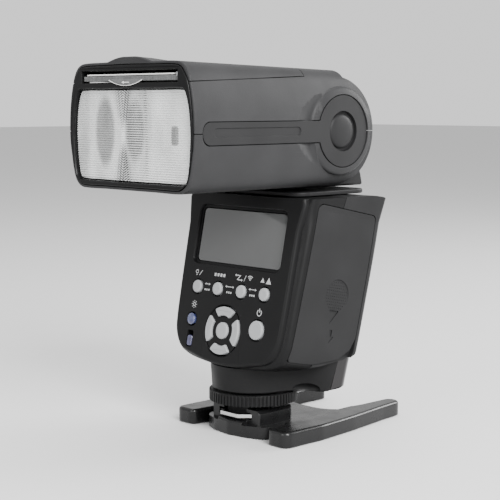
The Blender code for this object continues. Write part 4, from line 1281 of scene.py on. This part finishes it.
def lens_painted_reflection():
    """Clear ribbed plastic with a painted reflection of the bright reflector and flash tube behind it: pale
    bands, a darker oval and fan lines.
    """
    mat, tree, bsdf = shader("fresnel_acrylic_painted_reflection")
    coords = tree.nodes.new("ShaderNodeTexCoord")
    split = tree.nodes.new("ShaderNodeSeparateXYZ")
    tree.links.new(coords.outputs["Object"], split.inputs[0])

    def math_node(kind, a, b=None):
        node = tree.nodes.new("ShaderNodeMath")
        node.operation = kind
        for socket, value in zip(node.inputs, (a, b)):
            if value is None:
                continue
            if isinstance(value, (int, float)):
                socket.default_value = value
            else:
                tree.links.new(value, socket)
        return node.outputs[0]

    x, z = split.outputs["X"], split.outputs["Z"]
    x = math_node("MULTIPLY", x, 1000.0)
    z = math_node("MULTIPLY", math_node("SUBTRACT", z, 0.1213), 1000.0)

    def away(value, centre, half):
        return math_node("ABSOLUTE", math_node("DIVIDE", math_node("SUBTRACT", value, centre), half))

    def fading(value, outside, inside):
        node = tree.nodes.new("ShaderNodeMapRange")
        node.interpolation_type = "SMOOTHSTEP"
        node.inputs["From Min"].default_value = outside
        node.inputs["From Max"].default_value = inside
        tree.links.new(value, node.inputs["Value"])
        return node.outputs["Result"]

    def bump_at(cx, cz, rx, rz, power=2.0):
        parts = [math_node("POWER", away(v, c, r), power) for v, c, r in ((x, cx, rx), (z, cz, rz))]
        return fading(math_node("ADD", *parts), 1.3, 0.5)

    def bump_band(value, centre, half):
        return fading(away(value, centre, half), 1.2, 0.4)

    oval = bump_at(-16.5, 1.4, 6.0, 13.5)
    lens_zone = bump_at(1.8, 2.0, 5.6, 11.5)
    outer_zone = bump_at(2.5, 0.0, 9.5, 22.0)
    far_height = math_node("ABSOLUTE", z)
    spread = math_node("ADD", 1.2, math_node("MULTIPLY", far_height, 0.26))
    offset = math_node("ABSOLUTE", math_node("ADD", x, 5.4))
    band = fading(math_node("DIVIDE", offset, spread), 1.25, 0.4)
    shut = math_node("MINIMUM", math_node("MULTIPLY", far_height, 0.14), 1.0)
    fan = math_node("ADD", math_node("MULTIPLY", offset, 0.55), far_height)
    wave = math_node("SINE", math_node("MULTIPLY", fan, 6.6))
    ridge = math_node("SINE", math_node("MULTIPLY", z, 7.14))
    leaning = math_node("ADD", x, math_node("MULTIPLY", z, 0.03))
    ticks = bump_band(leaning, 8.4, 1.0)
    edge = bump_band(x, -30.0, 4.6)
    column = math_node("SINE", math_node("MULTIPLY", x, 9.0))
    tube = bump_at(24.6, 0.4, 2.0, 3.5, 6.0)
    patchy = math_node("SUBTRACT", noise(tree, 150.0, 3.0, (1.0, 1.0, 0.35)), 0.5)

    def plus(value, *factors):
        product = factors[0]
        for factor in factors[1:]:
            product = math_node("MULTIPLY", product, factor)
        return math_node("ADD", value, product)

    # Painted reflection: every term below paints the lit reflector and flash tube, as seen through the lens,
    # into the base colour. This gives pale bands, a dark oval, fan and ridge stripes and a dark tube spot.
    painted_reflection_tone = 0.52
    for factors in (
        (oval, -0.34), (oval, ridge, 0.06), (lens_zone, -0.20), (outer_zone, -0.10),
        (lens_zone, ridge, 0.2), (outer_zone, ridge, 0.09), (band, shut, -0.22),
        (band, shut, wave, 0.26), (band, math_node("SUBTRACT", 1.0, shut), 0.22),
        (ticks, ridge, 0.18), (ticks, -0.08), (edge, column, 0.09), (edge, -0.10), (ridge, 0.035),
        (tube, -0.34), (tube, column, 0.10), (patchy, 0.35),
    ):
        painted_reflection_tone = plus(painted_reflection_tone, *factors)
    mix = tree.nodes.new("ShaderNodeCombineColor")
    for i, share in enumerate((0.985, 1.0, 0.995)):
        tree.links.new(math_node("MULTIPLY", painted_reflection_tone, share), mix.inputs[i])
    dress(tree, bsdf, mix.outputs[0], remap(tree, noise(tree, 300.0), 0.2, 0.32), (0.5, 0.12))
    return mat


def make_lens():
    """Ribbed lens: fine horizontal ridges on its front face."""
    loop = window_loop(0.4)
    body = lofted([upright(loop, -60.0), upright(loop, -61.5)])
    pitch, rows = 0.88, 40
    levels = [(104.0 + pitch * k / 2, -61.5 - (0.34 if k % 2 else 0.0)) for k in range(-2, 2 * rows + 2)]
    profile = [(y, z) for z, y in levels] + [(-60.6, levels[-1][0]), (-60.6, levels[0][0])]
    ridges = keep(prism(profile, -36.0, 36.0, "x"), prism(window_loop(0.55), -66.0, -60.5, "y"))
    stand_in("fresnel_lens", join(body, ridges), lens_painted_reflection(), angle=30)


def clear_look():
    mat, tree, bsdf = shader("wide_panel_acrylic")
    tint = colour_ramp(tree, noise(tree, 500.0, 3.0), (0.055, 0.056, 0.056), (0.085, 0.087, 0.087))
    dress(tree, bsdf, tint, remap(tree, noise(tree, 500.0), 0.08, 0.18), (0.7, 0.05))
    return mat


def make_slot_panels():
    zigzag = [(-27.9 + 0.45 * k, -63.0 if k % 2 else -62.6) for k in range(125)]
    panel = prism(zigzag + [(27.9, -61.4), (-27.9, -61.4)], 141.6, 143.35)
    panel = join(panel, block((-27.9, -62.4, 141.5), (27.9, -14.0, 142.8)))
    lip = prism(crescent(), -63.45, -62.3, "y")
    inner = [(LIP_X + (x - LIP_X) * 0.93, z + 0.32) for x, z in crescent() if z < 142.0]
    lip = cut(lip, prism(inner + [(LIP_X + 9.0, 142.9), (LIP_X - 9.0, 142.9)], -64.0, -63.2, "y"))
    stand_in("wide_panel", join(panel, lip), clear_look())
    # Pale strip along the lip's curved rim: a painted highlight on the clear edge. The small arrow added to
    # it is print.
    rim = crescent()[:25]
    edge = rim + [(LIP_X + (x - LIP_X) * 0.965, z + 0.16) for x, z in reversed(rim)]
    arrow_and_painted_rim_highlight = prism(edge, -63.5, -63.4, "y")
    shaft = ((-1.3, 140.9), (1.9, 140.9), (1.9, 141.15), (-1.3, 141.15))
    tip = ((-2.3, 141.02), (-1.2, 140.55), (-1.2, 141.5))
    for shape in (shaft, tip):
        add_loose(arrow_and_painted_rim_highlight, prism([(LIP_X + a, b) for a, b in shape], -63.3, -63.15, "y"))
    piece("wide_panel_arrow_and_painted_rim_highlight", arrow_and_painted_rim_highlight, "card", "wide_panel", ())
    end_block = [(26.9, 142.95), (28.0, 142.95), (28.0, 144.5), (26.9, 144.5)]
    end_block = cushion(end_block, -62.9, -60.5, 0.15, 0.15, "y")
    piece("slot_end_block", end_block, "button", "head", ())
    card = rounded([(25.8, -63.0, 1.2), (25.8, -20.0, 1.2), (-26.4, -20.0, 1.2), (-26.4, -63.0, 1.2)], 5)
    stand_in("bounce_card", cushion(card, 143.6, 144.1, 0.12, 0.12), "card")


def dress_kept():
    for node, look in KEPT_LOOKS.items():
        obj = NODES[node]
        for slot in obj.material_slots:
            slot.material = LOOKS[look]


for make in (
    make_stand, make_shoe, make_lock_ring, make_housing, make_front_case, make_rear_case, make_door,
    make_keys, make_membrane, make_display, make_marks, make_neck, make_head_shells, make_side_trims,
    make_bezel,
    make_lens, make_slot_panels, dress_kept,
):
    make()

add_camera()
add_world(1.1)
add_floor()
add_light("key", (0.85, -0.30, 0.60), (0.0, 0.0, 0.11), 0.5, 30.0)
add_light("front", (0.05, -0.95, 0.40), (0.0, 0.0, 0.10), 0.5, 5.0)
add_light("top", (-0.1, 0.1, 1.0), (0.0, 0.0, 0.10), 0.6, 7.0)
add_light("rear", (0.30, 0.85, 0.40), (0.0, 0.0, 0.12), 0.4, 9.0)
